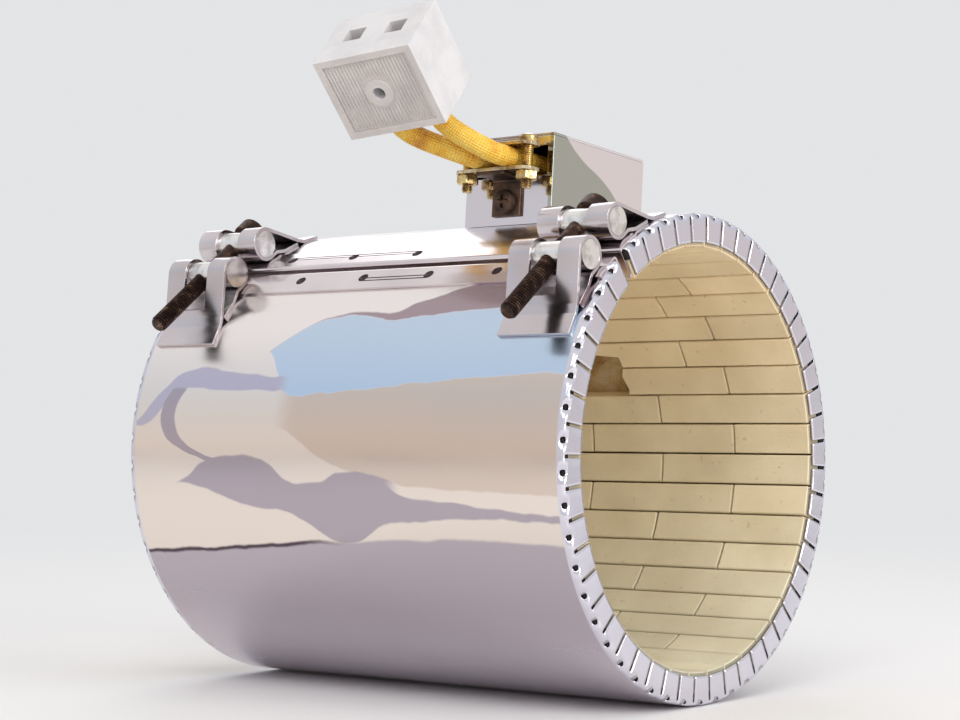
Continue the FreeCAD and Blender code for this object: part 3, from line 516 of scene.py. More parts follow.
BOX_FINISH = polished_sheet("box_polished_sheet", painted_box_reflection, waves=0.5, rough=0.07)
LOOP_FINISH = polished_sheet("loop_strap_steel", (0.72, 0.66, 0.68), waves=0.6, rough=0.16, wave_scale=60)
print("polished sheet finishes ready")

# %% [markdown]
# ## The jacket
# The jacket is one sheet. Its ends are slit into tabs that fold in over the tiles, with a small
# round hole punched in the fold of each tab so that the sheet does not tear. It could be cut from
# a tube with booleans, but a grid gives cleaner edges: one direction runs over the fold, along
# the band and over the other fold, the other runs round. Cells are left out where the slits and
# holes are, and a solidify modifier gives the sheet its thickness.

# %% Jacket
TABS = 50
SLIT = 1.2 * MM
FOLD = 1.1 * MM
HOLE = 1.05 * MM
TAB_TIP = BORE_RADIUS + 1.4 * MM
MIDDLE_SKIN = JACKET_RADIUS - SHEET / 2
OPEN_HALF = math.degrees(math.asin(2.4 / 70.0))
TAB_PITCH = (360 - 2 * OPEN_HALF) / TABS
FOLD_LENGTH = FOLD * math.pi / 2
FLANGE_TOP = MIDDLE_SKIN - FOLD
FLANGE_LENGTH = FLANGE_TOP - TAB_TIP
END_PLANE = HALF_LENGTH - SHEET / 2


def over_the_fold(distance):
    """(x, radius) at a distance along the sheet from the tip of a tab on the +X end."""
    if distance <= FLANGE_LENGTH:
        return END_PLANE, TAB_TIP + distance
    turn = (distance - FLANGE_LENGTH) / FOLD
    if turn <= math.pi / 2:
        return (
            END_PLANE - FOLD + FOLD * math.cos(turn),
            FLANGE_TOP + FOLD * math.sin(turn),
        )
    return END_PLANE - FOLD - (distance - FLANGE_LENGTH - FOLD_LENGTH), MIDDLE_SKIN


def jacket_grid():
    """Points and faces of the sheet's middle surface."""
    hole_at = FLANGE_LENGTH + FOLD_LENGTH / 2
    quarter = [-1, -0.5, 0, 0.5, 1]
    end_rows = [0, 0.8 * MM, 0.45 * FLANGE_LENGTH, FLANGE_LENGTH - 1.2 * MM]
    end_rows += [hole_at + q * HOLE for q in quarter]
    end_rows += [hole_at + HOLE + 0.8 * MM]
    body_start = END_PLANE - FOLD - 0.0015
    near_fold = [body_start - d * MM for d in (0, 2, 4, 6, 8, 10)]
    middle_rows = [near_fold[-1] * (1 - i / 9) for i in range(1, 18)]
    body_rows = near_fold + middle_rows + [-x for x in reversed(near_fold)]
    rows = [("right", s) for s in end_rows] + [("body", x) for x in body_rows]
    rows += [("left", s) for s in reversed(end_rows)]
    columns = []
    for tab in range(TABS):
        middle = OPEN_HALF + TAB_PITCH * (tab + 0.5)
        half = math.radians(TAB_PITCH / 2)
        for code in (-4, -3, -2, -1, 0, 1, 2, 3, 4):
            columns.append((tab, code, middle, half))
    rng = random.Random(7)
    lean = {(tab, end): rng.uniform(-0.12, 0.12) * MM for tab in range(TABS) for end in (0, 1)}
    points = []
    for kind, value in rows:
        for tab, code, middle, half in columns:
            if kind == "body":
                x, radius = value, MIDDLE_SKIN
                distance = None
            else:
                distance = value
                x, radius = over_the_fold(distance)
            edge = half - SLIT / 2 / radius
            if abs(code) == 4:
                offset = edge
            elif abs(code) == 3:
                offset = edge - 0.7 * MM / radius
            else:
                offset = abs(code) * HOLE / 2 / radius
            offset = math.copysign(offset, code) if code else 0.0
            if kind == "body":
                even = code * 2 * half / 9
                inward = min(1.0, (body_start - abs(value)) / (12 * MM))
                ease = inward * inward * (3 - 2 * inward)
                offset += (even - offset) * ease
            if distance is not None and abs(code) <= 2 and abs(distance - hole_at) <= HOLE * 1.001:
                across, up = code * HOLE / 2, distance - hole_at
                ring = max(abs(across), abs(up))
                if ring > 0.99 * HOLE:
                    scale = HOLE / math.hypot(across, up)
                    x, radius = over_the_fold(hole_at + up * scale)
                    offset = across * scale / radius
            if distance is not None and distance < FLANGE_LENGTH:
                away = 1 - distance / FLANGE_LENGTH
                curl = 0.10 * MM if abs(code) == 4 else 0.0
                x += away * (lean[(tab, 0 if kind == "right" else 1)] * 0.6 - 0.05 * MM) + curl * away
            if kind == "left":
                x = -x
            points.append(from_gap(x, middle + math.degrees(offset), radius))
    width = len(columns)
    faces = []
    for r in range(len(rows) - 1):
        kinds = (rows[r][0], rows[r + 1][0])
        is_end = kinds[0] == kinds[1] and kinds[0] != "body"
        for c in range(width - 1):
            tab, code = columns[c][0], columns[c][1]
            if columns[c + 1][0] != tab:
                reach = max(rows[r][1], rows[r + 1][1]) if is_end else 0
                if is_end and reach < hole_at:
                    continue
            elif is_end and -2 <= code < 2:
                low, high = sorted((rows[r][1], rows[r + 1][1]))
                if low > hole_at - 1.001 * HOLE and high < hole_at + 1.001 * HOLE:
                    continue
            base = r * width + c
            faces.append((base, base + 1, base + width + 1, base + width))
    return points, faces


grid_points, grid_faces = jacket_grid()
jacket = piece(
    "slit_and_folded_jacket", grid_points, grid_faces, JACKET_FINISH,
    nodes=("jacket",), slot="polished_stainless", smooth=50,
)
thick = jacket.modifiers.new("sheet_thickness", "SOLIDIFY")
thick.thickness = SHEET
thick.offset = 0.0
print("jacket: %d tabs at each end, %d faces" % (TABS, len(grid_faces)))

# %% [markdown]
# ## Ceramic tiles
# Unglazed ceramic is matt, slightly sandy and never quite one colour: each tile came from its own
# place in the kiln. The frame's tiles are copied, their edges rolled, and each one shifted by a
# hair so that the joints read as separate blocks. A random number for each loose island of the
# mesh changes the colour from tile to tile, and the low tiles are greyer than the high ones.

# %% Ceramic finish


def ceramic(name):
    """Cream unglazed ceramic with kiln variation and faint stains."""
    material = new_material(name)
    island = add(material, "ShaderNodeNewGeometry").outputs["Random Per Island"]
    angle, along = band_angle(material)
    lowness = add(
        material, "ShaderNodeMapRange", Value=maths(material, "ABSOLUTE", angle),
        From_Min=40.0, From_Max=150.0,
    ).outputs[0]
    height = mix(material, lowness, (0.90, 0.75, 0.51), (0.66, 0.63, 0.49))
    tile_tone = ramp(material, island, [(0.0, (0.90, 0.90, 0.90)), (1.0, (1.08, 1.06, 1.04))])
    colour = mix(material, 1.0, height, tile_tone, "MULTIPLY")
    clouds = ramp(material, noise(material, 45.0, 5.0), [(0.3, (0.90, 0.87, 0.82)), (0.7, (1.05, 1.05, 1.04))])
    colour = mix(material, 1.0, colour, clouds, "MULTIPLY")
    grit = noise(material, 900.0, 2.0)
    specks = ramp(material, noise(material, 420.0, 1.0), [(0.23, (0.55, 0.42, 0.28)), (0.29, (1, 1, 1))])
    colour = mix(material, 0.35, colour, specks, "MULTIPLY")
    # The tile ends under the tabs, seen through the slits, get painted shade near black.
    far_out = maths(material, "ABSOLUTE", along)
    painted_slit_shade = past(material, far_out, HALF_LENGTH - 1.2 * MM, 0.1 * MM)
    colour = mix(material, painted_slit_shade, colour, (0.02, 0.015, 0.012))
    return surface(
        material,
        Base_Color=colour,
        Roughness=0.78,
        Normal=bump(material, grit, 0.25 * MM, 0.35),
    )


TILE_FINISH = ceramic("cream_ceramic")


def settle_islands(obj, amount, seed):
    """Shift each loose block of a mesh by a hair, outward or inward and round the bore."""
    rng = random.Random(seed)
    work = bmesh.new()
    work.from_mesh(obj.data)
    left = set(work.verts)
    while left:
        stack = [left.pop()]
        block = []
        while stack:
            vert = stack.pop()
            block.append(vert)
            for edge in vert.link_edges:
                other = edge.other_vert(vert)
                if other in left:
                    left.remove(other)
                    stack.append(other)
        middle = sum((v.co for v in block), Vector()) / len(block)
        outward = Vector((0, middle.y, middle.z)).normalized()
        shift = outward * rng.uniform(0, amount)
        tilt = Matrix.Rotation(rng.uniform(-0.002, 0.002), 3, outward)
        for vert in block:
            vert.co = tilt @ (vert.co - middle) + middle + shift
    work.to_mesh(obj.data)
    work.free()


courses = [n for n in sorted(frame["nodes"]) if n.startswith("tile_course")]
for number, node in enumerate(courses):
    course = rolled_edges("ceramic_" + node, node, TILE_FINISH, 0.45 * MM)
    settle_islands(course, 0.12 * MM, 100 + number)
print("%d courses of tiles" % len(courses))

# %% Blanket behind the broken tile


def scorched_fibre(name):
    """Grey ceramic-fibre blanket, browned by heat, with a felted surface."""
    material = new_material(name)
    felt = noise(material, 260.0, 6.0, (1, 2.5, 2.5), 0.7, 1.0)
    burn = noise(material, 55.0, 4.0, (1, 1, 1), 0.6, 0.8)
    colour = ramp(
        material, burn,
        [(0.30, (0.14, 0.06, 0.02)), (0.44, (0.42, 0.25, 0.09)), (0.58, (0.62, 0.45, 0.24)),
         (0.74, (0.62, 0.56, 0.44))],
    )
    # The blanket near the ends, seen through the holes in the folds, gets painted shade near black.
    along = band_angle(material)[1]
    painted_slit_shade = past(material, maths(material, "ABSOLUTE", along), HALF_LENGTH - 4 * MM, 0.4 * MM)
    colour = mix(material, painted_slit_shade, colour, (0.02, 0.015, 0.012))
    return surface(
        material, Base_Color=colour, Roughness=0.95, Normal=bump(material, felt, 1.6 * MM, 0.8)
    )


paint_node("insulation_blanket", scorched_fibre("scorched_fibre"))
print("blanket painted")

# %% [markdown]
# ## Strips along the gap
# Two strips are spot-welded along the edges of the gap, where they stiffen the sheet and carry
# the clamps. They are the brightest, pinkest metal on the heater because they face the sky. Their
# welds are shallow round dimples, already cut in the solids, so here the edges get rolled.

# %% Strips
WELD_FINISH = polished_sheet("burnt_weld_dimple", (0.05, 0.035, 0.04), waves=0.3, rough=0.3)
SMALL_FACE = 16 * MM ** 2
for node in ("near_gap_strip", "far_gap_strip"):
    strip = rolled_edges(
        "polished_" + node, node, STRIP_FINISH, 0.18 * MM, angle=30
    )
    strip.data.materials.append(WELD_FINISH)
    low_angle, high_angle = 1e9, -1e9
    for vert in strip.data.vertices:
        turn = math.atan2(-vert.co.y, vert.co.z)
        low_angle, high_angle = min(low_angle, turn), max(high_angle, turn)
    middle_turn = (low_angle + high_angle) / 2
    burnt = 0
    for face in strip.data.polygons:
        turn = math.atan2(-face.center.y, face.center.z)
        outward = Vector((0, face.center.y, face.center.z)).normalized()
        beside = abs(turn - middle_turn) * JACKET_RADIUS
        if face.normal.dot(outward) > 0.3 and beside < 3.0 * MM and face.area < SMALL_FACE:
            face.material_index = 1
            burnt += 1
    print(node, burnt, "faces burnt by the welds")
print("two strips")

# %% Clamp loops and barrels
LOOP_NODES = [side + "_clamp_loop_" + end for side in ("near", "far") for end in ("left", "right")]
for node in LOOP_NODES:
    rolled_edges("folded_" + node, node, LOOP_FINISH, 0.22 * MM, angle=30)


def turned_steel(name, tint, rough=0.2):
    """Bright turned steel with fine rings left by the tool."""
    material = new_material(name)
    rings = add(
        material, "ShaderNodeTexWave", {"wave_type": "BANDS", "bands_direction": "X"},
        Vector=place_coordinates(material), Scale=900.0, Distortion=2.0, Detail=2.0,
    ).outputs["Fac"]
    stain = ramp(
        material, noise(material, 180.0, 4.0),
        [(0.30, tuple(0.55 * c for c in tint)), (0.55, tint)],
    )
    return surface(
        material, Base_Color=stain, Metallic=1.0, Roughness=rough,
        Normal=bump(material, rings, 0.03 * MM, 0.5),
    )


BARREL_FINISH = turned_steel("turned_barrel_steel", (0.88, 0.86, 0.84))
BARREL_NODES = [kind + "_barrel_" + end for kind in ("threaded", "plain") for end in ("left", "right")]
for node in BARREL_NODES:
    rolled_edges("turned_" + node, node, BARREL_FINISH, 0.5 * MM, angle=50)
print("%d loops and %d barrels" % (len(LOOP_NODES), len(BARREL_NODES)))

# %% [markdown]
# ## Clamp screws
# The socket-head screws are black-oxide steel that long heat has turned bronze on the crests; the
# dark of the thread roots is painted shade. A thread is too fine for the solid, so here it is wound
# as a real helix: a small profile is carried along the shank, one turn for each pitch, and the crest
# stays inside the solid's own radius. The screw turns with its own body, so the mesh is built about
# the joint's axis.

# %% Screw helpers


def frame_of(axis, origin):
    """A matrix that carries +Z to an axis and the origin to a point."""
    axis = Vector(axis).normalized()
    across = axis.orthogonal().normalized()
    turn = Matrix((across, axis.cross(across), axis)).transposed().to_4x4()
    return Matrix.Translation(Vector(origin)) @ turn


def hexagon(corner_radius):
    """The radius of a hexagon at any angle, from its corner radius."""
    flat = corner_radius * math.cos(math.pi / 6)
    return lambda angle: flat / math.cos((angle % (math.pi / 3)) - math.pi / 6)


def knurled(radius, ridges, depth):
    """A radius with fine ridges round it."""
    return lambda angle: radius - depth * (0.5 - 0.5 * math.cos(ridges * angle))


def turned(profile, turns=36):
    """A closed form about Z from (radius, height) pairs; a radius may depend on the angle."""
    points, faces = [], []
    for radius, level in profile:
        for k in range(turns):
            angle = 2 * math.pi * k / turns
            r = radius(angle) if callable(radius) else radius
            points.append(Vector((r * math.cos(angle), r * math.sin(angle), level)))
    for i in range(len(profile) - 1):
        for k in range(turns):
            n = (k + 1) % turns
            faces.append((i * turns + k, i * turns + n, (i + 1) * turns + n, (i + 1) * turns + k))
    faces.append(tuple(reversed(range(turns))))
    last = (len(profile) - 1) * turns
    faces.append(tuple(last + k for k in range(turns)))
    return points, faces


def thread(radius, pitch, low, high, steps=24):
    """A closed threaded rod along +Z: its grid leans with the helix, so crests are clean lines."""
    depth = 0.61 * pitch
    section = [(0.0, 0.0), (0.13, 0.0), (0.5, 1.0), (0.63, 1.0)]
    per_turn = len(section)
    count = (int((high - low) / pitch) + 3) * per_turn
    points, faces = [], []
    for i in range(steps):
        angle = 2 * math.pi * i / steps
        for k in range(count):
            share, sunk = section[k % per_turn]
            level = low + pitch * (k // per_turn + share + i / steps - 1.5)
            fade = min(1.0, max(0.0, (level - low) / pitch))
            r = radius - depth * sunk
            r = min(r, radius - depth * (1 - fade)) if fade < 1 else r
            level = min(max(level, low), high)
            points.append(Vector((r * math.cos(angle), r * math.sin(angle), level)))
    for i in range(steps):
        for k in range(count - 1):
            if i < steps - 1:
                a, b = i * count + k, (i + 1) * count + k
            else:
                a, b = i * count + k, k + per_turn
                if k + per_turn + 1 >= count:
                    continue
            faces.append((a, b, b + 1, a + 1))
    core = turned([(radius - depth, low + 0.0001), (radius - depth, high)], steps)
    return joined((points, faces), core, turned([(0.75 * radius, low - 0.0001), (radius - depth, low + 0.0003)], steps))


def carried(shape, matrix):
    """A (points, faces) pair carried by a matrix."""
    return [matrix @ point for point in shape[0]], shape[1]


def joined(*parts):
    """Several (points, faces) made one."""
    points, faces = [], []
    for some_points, some_faces in parts:
        start = len(points)
        points += some_points
        faces += [tuple(start + i for i in face) for face in some_faces]
    return points, faces


print("screw helpers ready")

# %% Clamp screws


def blackened(name):
    """Black oxide gone bronze on what stands proud, with painted shade near black in the thread roots."""
    material = new_material(name)
    worn = noise(material, 320.0, 5.0, (1, 1, 1), 0.65)
    colour = ramp(
        material, worn,
        [(0.36, (0.020, 0.012, 0.010)), (0.56, (0.070, 0.036, 0.026)), (0.76, (0.36, 0.24, 0.16))],
    )
    # The sunk attribute is near 1 in the thread roots, and there the colour is painted shade near black.
    sunk = add(material, "ShaderNodeAttribute", {"attribute_name": "sunk"}).outputs["Fac"]
    colour = mix(material, sunk, colour, (0.003, 0.002, 0.002))
    rough = ramp(material, worn, [(0.3, (0.42,) * 3), (0.7, (0.22,) * 3)])
    return surface(
        material, Base_Color=colour, Metallic=0.8, Roughness=rough,
        Normal=bump(material, noise(material, 700.0, 3.0), 0.06 * MM, 0.6),
    )


SCREW_FINISH = blackened("bronzed_black_oxide")


def socket_screw(end):
    """Socket-head cap screw about its joint: knurled head, hexagon socket, threaded shank."""
    joint = next(j for j in frame["joints"] if j["name"] == end + "_screw_turn")
    head = turned(
        [(3.3 * MM, 0.05 * MM), (4.7 * MM, 0.05 * MM), (4.95 * MM, 0.3 * MM),
         (knurled(4.98 * MM, 36, 0.16 * MM), 0.7 * MM), (knurled(4.98 * MM, 36, 0.16 * MM), 5.1 * MM),
         (4.85 * MM, 5.5 * MM), (4.3 * MM, 5.97 * MM), (3.35 * MM, 5.97 * MM),
         (hexagon(2.95 * MM), 5.7 * MM), (hexagon(2.9 * MM), 2.8 * MM), (0.4 * MM, 2.1 * MM)],
        144,
    )
    shank = turned([(2.95 * MM, -17.5 * MM), (3.0 * MM, -17.2 * MM), (3.0 * MM, 0.05 * MM)], 36)
    winding = thread(3.0 * MM, 1.0 * MM, -54.8 * MM, -17.2 * MM)
    shape = carried(joined(head, shank, winding), frame_of(joint["axis"], joint["pos_m"]))
    node = "clamp_screw_" + end
    made = piece(
        "threaded_" + node, *shape, SCREW_FINISH, body=end + "_screw", nodes=(node,),
        slot="black_steel", smooth=32,
    )
    # How far each vertex sits in the thread roots, used to paint shade near black there.
    sunk = made.data.attributes.new("sunk", "FLOAT", "POINT")
    axis, start = Vector(joint["axis"]).normalized(), Vector(joint["pos_m"])
    for vert in made.data.vertices:
        reach = vert.co - start
        level = reach.dot(axis)
        radius = (reach - axis * level).length
        in_thread = level < -17.2 * MM and level > -54.7 * MM
        sunk.data[vert.index].value = min(1.0, (3.0 * MM - radius) / (0.5 * MM)) if in_thread else 0.0
    return made


for end in ("left", "right"):
    screw = socket_screw(end)
    print(screw.name, len(screw.data.polygons), "faces")

# %% [markdown]
# ## Terminal box
# The box is folded from the same mirror sheet and sits on the jacket with a curved base. It has
# its own frame: origin at the middle of its front edge, leaning back a little as it follows the
# round of the band. Everything in the cord clamp is placed in that frame.

# %% Box and lid
BOX = Matrix.Translation((0.0215, -0.013, 0.082)) @ Matrix.Rotation(math.radians(-5), 4, "X")


def at_box(x, y, z):
    """A place in the box's frame, in millimetres, as a matrix in the scene."""
    return BOX @ Matrix.Translation((x * MM, y * MM, z * MM))


rolled_edges("folded_terminal_box", "terminal_box", BOX_FINISH, 0.35 * MM, angle=40)
rolled_edges("folded_box_lid", "terminal_box_lid", BOX_FINISH, 0.3 * MM, angle=40)
print("box and lid")

# %% [markdown]
# ## Small screws
# The pan-head screws have a domed head with a cross recess. A dome is easy to turn, and the cross
# is made by pushing in the points of the dome that lie inside the cross, on a fine enough grid.

# %% Pan screws
LID_SCREW_FINISH = turned_steel("bright_screw_steel", (0.90, 0.90, 0.90), 0.25)


def pan_screw(name, node, matrix, material, slot):
    """A domed head with a cross recess about its own +Z, and a short shank."""
    radius, height, steps, rings = 4.35 * MM, 2.55 * MM, 96, 26
    points, faces = [], []
    for r in range(rings + 1):
        share = r / rings
        for k in range(steps):
            angle = 2 * math.pi * k / steps
            rr = radius * share
            x, y = rr * math.cos(angle), rr * math.sin(angle)
            dome = height * (1 - 0.32 * share ** 2) if share < 0.93 else height * 0.62 * (1 - share) / 0.07
            arm = 0.16 * radius
            reach = max(abs(x), abs(y))
            if min(abs(x), abs(y)) < arm and reach < 0.55 * radius:
                dome -= 1.3 * MM * min(1.0, (0.58 * radius - reach) / (0.25 * radius))
            points.append(Vector((x, y, max(dome, 0.0))))
    for r in range(rings):
        for k in range(steps):
            n = (k + 1) % steps
            faces.append((r * steps + k, (r + 1) * steps + k, (r + 1) * steps + n, r * steps + n))
    shank = turned([(1.9 * MM, -5.9 * MM), (2.0 * MM, -5.6 * MM), (2.0 * MM, 0.1 * MM)], 24)
    base = turned([(radius, 0.0), (radius, 0.15 * MM)], steps)
    shape = carried(joined((points, faces), shank, base), matrix)
    return piece(name, *shape, material, nodes=(node,), slot=slot, smooth=35)


def browned(name):
    """Steel darkened by heat, almost black, with rusty brown blooms."""
    material = new_material(name)
    bloom = noise(material, 150.0, 5.0, (1, 1, 1), 0.6)
    colour = ramp(
        material, bloom,
        [(0.35, (0.030, 0.022, 0.018)), (0.60, (0.12, 0.07, 0.045)), (0.78, (0.30, 0.20, 0.14))],
    )
    return surface(
        material, Base_Color=colour, Metallic=0.7, Roughness=0.38,
        Normal=bump(material, bloom, 0.2 * MM, 0.4),
    )


BROWN_FINISH = browned("heat_darkened_steel")
facing_out = Matrix.Rotation(math.radians(90), 4, "X")
pan_screw("lid_pan_screw", "lid_screw", at_box(0, 10, 29.6), LID_SCREW_FINISH, "bright_steel")
pan_screw("foot_pan_screw", "foot_screw", at_box(0, -1.3, 6) @ facing_out, BROWN_FINISH, "dark_steel")
rolled_edges("bent_clamp_foot", "cord_clamp_foot", BROWN_FINISH, 0.25 * MM)
print("pan screws and foot")

# %% [markdown]
# ## Cord clamp
# Two flat plates pinch the leads, pulled together by two brass screws with hexagon nuts below.
# Brass in a hot place keeps a yellow shine on its corners and goes brown in its hollows.

# %% Brass and plates


def brass(name, bright=(0.86, 0.66, 0.30)):
    """Yellow brass with brown tarnish."""
    material = new_material(name)
    tarnish = noise(material, 260.0, 4.0, (1, 1, 1), 0.6)
    colour = ramp(
        material, tarnish,
        [(0.32, (0.22, 0.12, 0.05)), (0.50, tuple(0.75 * c for c in bright)), (0.66, bright)],
    )
    return surface(
        material, Base_Color=colour, Metallic=1.0,
        Roughness=ramp(material, tarnish, [(0.3, (0.42,) * 3), (0.65, (0.2,) * 3)]),
        Normal=bump(material, noise(material, 600.0, 2.0), 0.04 * MM, 0.5),
    )


BRASS_FINISH = brass("tarnished_brass")
PLATE_FINISH = brass("yellowed_plated_steel", (0.80, 0.68, 0.46))
for node in ("cord_clamp_lower_plate", "cord_clamp_upper_plate"):
    rolled_edges("pressed_" + node, node, PLATE_FINISH, 0.25 * MM)
LOWER, UPPER, PLATE_Y = 16.25, 23.75, -7.0
screws, nuts = [], []
for side in (-1, 1):
    top = UPPER + 1.25
    shank = thread(1.98 * MM, 0.7 * MM, (top - 15.9) * MM, (top + 0.1) * MM, 20)
    head = turned(
        [(1.9 * MM, top * MM), (3.05 * MM, top * MM), (3.14 * MM, (top + 0.2) * MM),
         (3.14 * MM, (top + 1.7) * MM), (2.7 * MM, (top + 2.4) * MM), (1.6 * MM, (top + 2.58) * MM)],
        40,
    )
    place = at_box(side * 12.8, PLATE_Y, 0)
    screws.append(carried(joined(head, shank), place))
    under = LOWER - 1.25
    nut = turned(
        [(2.05 * MM, (under - 3.15) * MM), (3.3 * MM, (under - 3.15) * MM),
         (hexagon(4.02 * MM), (under - 2.8) * MM), (hexagon(4.02 * MM), (under - 0.4) * MM),
         (3.4 * MM, (under - 0.05) * MM), (2.05 * MM, (under - 0.05) * MM)],
        48,
    )
    nuts.append(carried(nut, place))
piece("clamp_brass_screws", *joined(*screws), BRASS_FINISH, nodes=("cord_clamp_screws",), slot="brass", smooth=32)
piece("clamp_brass_nuts", *joined(*nuts), BRASS_FINISH, nodes=("cord_clamp_nuts",), slot="brass", smooth=30)
print("plates, two brass screws and nuts")

# %% [markdown]
# ## Porcelain block
# The terminal block is dry-pressed porcelain: soft edges, a slightly lumpy skin like an orange,
# and fine ribs in the sunk field that would carry its marking, which stays bare. It hangs on the
# leads at a tilt, so it has a frame of its own too.

# %% Block
BLOCK = (
    Matrix.Translation((0.006, -0.056, 0.130))
    @ Matrix.Rotation(math.radians(8.7), 4, "Z")
    @ Matrix.Rotation(math.radians(-5.5), 4, "Y")
    @ Matrix.Rotation(math.radians(-48.0), 4, "X")
)


def porcelain(name, tint):
    """White porcelain with a grainy, slightly lumpy skin and dust in its low places."""
    material = new_material(name)
    lumps = noise(material, 190.0, 4.0)
    grain = noise(material, 1100.0, 3.0)
    dust = ramp(
        material, noise(material, 75.0, 5.0, (1, 1, 1), 0.6),
        [(0.35, tuple(0.86 * c for c in tint)), (0.60, tint)],
    )
    height = maths(material, "ADD", lumps, maths(material, "MULTIPLY", grain, 0.25))
    return surface(
        material, Base_Color=dust, Roughness=0.48, Normal=bump(material, height, 0.5 * MM, 0.4),
    )


PORCELAIN_FINISH = porcelain("dry_pressed_porcelain", (0.70, 0.68, 0.69))
FIELD_FINISH = porcelain("dusty_porcelain", (0.66, 0.61, 0.58))
block = rolled_edges("porcelain_block", "terminal_block", PORCELAIN_FINISH, 0.7 * MM, segments=3, angle=40)
into_block = BLOCK.inverted()
block.data.materials.append(FIELD_FINISH)
for face in block.data.polygons:
    inside = into_block @ face.center
    if inside.z < -12.8 * MM and abs(inside.x) < 16.5 * MM and abs(inside.y) < 13.6 * MM:
        face.material_index = 1
ribs = []
spot = -15.3
while spot < 15.4:
    clear = 6.2
    keep_out = math.sqrt(clear ** 2 - spot ** 2) if abs(spot) < clear else 0.0
    spans = [(-12.6, 12.6)] if not keep_out else [(-12.6, -keep_out), (keep_out, 12.6)]
    for low, high in spans:
        base, top, wide, slim = -12.86, -13.28, 0.42, 0.2
        corners = [(-wide, low, base), (wide, low, base), (wide, high, base), (-wide, high, base)]
        corners += [(-slim, low + 0.3, top), (slim, low + 0.3, top), (slim, high - 0.3, top), (-slim, high - 0.3, top)]
        points = [Vector(((spot + x) * MM, y * MM, z * MM)) for x, y, z in corners]
        ribs.append((points, [(0, 1, 5, 4), (1, 2, 6, 5), (2, 3, 7, 6), (3, 0, 4, 7), (4, 5, 6, 7), (3, 2, 1, 0)]))
    spot += 1.28
piece("ribs_in_the_bare_field", *carried(joined(*ribs), BLOCK), FIELD_FINISH, slot="porcelain", smooth=60)
for node in ("brass_terminals", "terminal_screws"):
    rolled_edges("turned_" + node, node, BRASS_FINISH, 0.2 * MM)
print("block with %d ribs" % len(ribs))

# %% [markdown]
# ## Leads
# The two leads are wires in thick woven glass sleeving. They are stiff, and bend once out of the
# block and once into the clamp. The line is a smooth spline, and the tube round it is made with
# a real braid pattern, so that each strand crosses the next over and under.

# %% Leads


def smooth_line(controls, samples=16):
    """Points of a quadratic spline through the middles of its control runs."""
    first, last = controls[0], controls[-1]
    middles = [first] + [(a + b) / 2 for a, b in zip(controls[1:-2], controls[2:-1])] + [last]
    line = []
    for start, control, stop in zip(middles[:-1], controls[1:-1], middles[1:]):
        for i in range(samples):
            t = i / samples
            line.append(start * (1 - t) ** 2 + control * 2 * t * (1 - t) + stop * t ** 2)
    return line + [last]


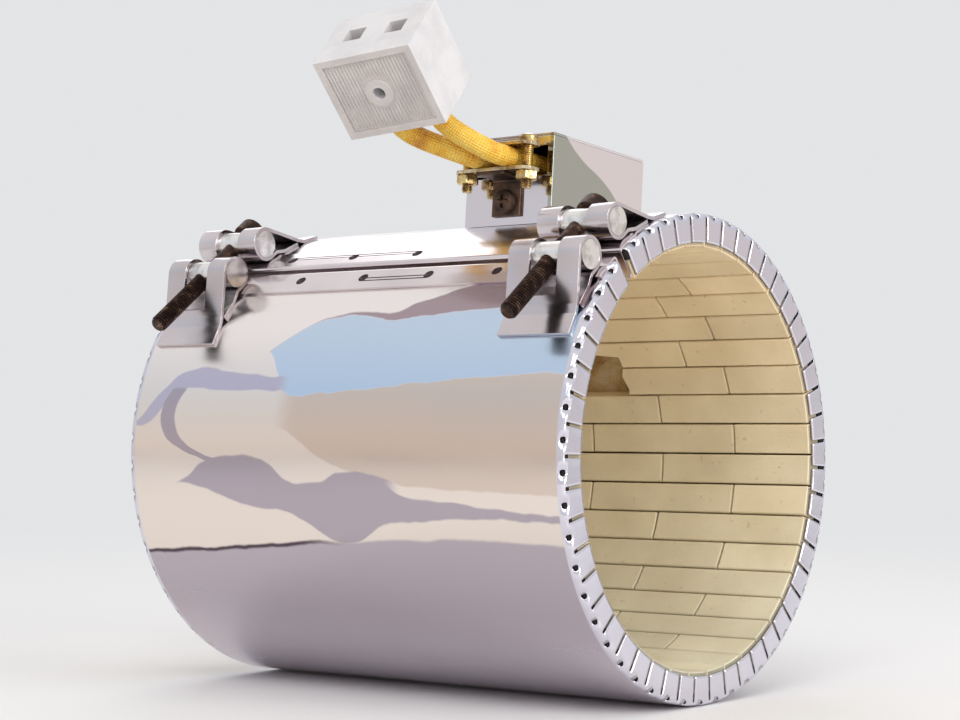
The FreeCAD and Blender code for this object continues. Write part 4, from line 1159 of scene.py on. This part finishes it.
def sleeve_finish(name):
    """Yellow woven glass sleeving with oily browner patches."""
    material = new_material(name)
    uv = add(material, "ShaderNodeTexCoord").outputs["UV"]
    parts = add(material, "ShaderNodeSeparateXYZ", Vector=uv)
    along = maths(material, "MULTIPLY", parts.outputs["X"], 2 * math.pi / 1.9)
    around = maths(material, "MULTIPLY", parts.outputs["Y"], 2 * math.pi * 12)
    one = maths(material, "SINE", maths(material, "ADD", along, around))
    two = maths(material, "SINE", maths(material, "SUBTRACT", along, around))
    weave = maths(material, "MULTIPLY_ADD", maths(material, "MULTIPLY", one, two), 0.5)
    weave.node.inputs[2].default_value = 0.5
    patches = noise(material, 110.0, 4.0, (1, 1, 1), 0.6)
    colour = ramp(
        material, patches,
        [(0.32, (0.62, 0.27, 0.03)), (0.48, (0.90, 0.52, 0.05)), (0.66, (0.98, 0.70, 0.14))],
    )
    shade = ramp(material, weave, [(0.0, (0.62, 0.55, 0.45)), (0.45, (1, 1, 1))])
    return surface(
        material, Base_Color=mix(material, 0.8, colour, shade, "MULTIPLY"), Roughness=0.55,
        Normal=bump(material, weave, 0.35 * MM, 0.8),
    )


SLEEVE_FINISH = sleeve_finish("woven_glass_sleeving")


def lead(end, side):
    """One sleeved lead from the box, through the clamp, to its well in the block."""
    across, through = side * 8.0, side * 6.0
    route = [BLOCK @ Vector((across * MM, y * MM, 1.0 * MM)) for y in (9.75, 16.0, 24.8)]
    route += [BOX @ Vector((through * MM, y * MM, 20.0 * MM)) for y in (-19.3, -8.5, 11.9)]
    line = smooth_line(route)
    radius, steps = 3.66 * MM, 32
    points, faces, distance, travelled = [], [], [], 0.0
    previous = (line[1] - line[0]).orthogonal().normalized()
    for i, point in enumerate(line):
        tangent = (line[min(i + 1, len(line) - 1)] - line[max(i - 1, 0)]).normalized()
        previous = (previous - tangent * previous.dot(tangent)).normalized()
        other = tangent.cross(previous)
        travelled += (point - line[i - 1]).length if i else 0.0
        distance.append(travelled / MM)
        for k in range(steps):
            angle = 2 * math.pi * k / steps
            points.append(point + radius * (math.cos(angle) * previous + math.sin(angle) * other))
    for i in range(len(line) - 1):
        for k in range(steps):
            n = (k + 1) % steps
            faces.append((i * steps + k, i * steps + n, (i + 1) * steps + n, (i + 1) * steps + k))
    faces.append(tuple(reversed(range(steps))))
    faces.append(tuple((len(line) - 1) * steps + k for k in range(steps)))
    node = "lead_" + end
    obj = piece("sleeved_" + node, points, faces, SLEEVE_FINISH, nodes=(node,), slot="sleeving", smooth=60)
    layer = obj.data.uv_layers.new(name="sleeve")
    for face in obj.data.polygons:
        rows = [obj.data.loops[i].vertex_index % steps for i in face.loop_indices]
        wraps = max(rows) - min(rows) > 1
        for i in face.loop_indices:
            vertex = obj.data.loops[i].vertex_index
            turn = vertex % steps
            turn = steps if wraps and turn == 0 else turn
            layer.data[i].uv = (distance[vertex // steps], turn / steps)
    return travelled


for end, side in (("left", -1), ("right", 1)):
    print("lead", end, "%.1f mm" % (1000 * lead(end, side)))
paint_node("lead_conductors", turned_steel("nickel_wire", (0.70, 0.68, 0.62), 0.35))
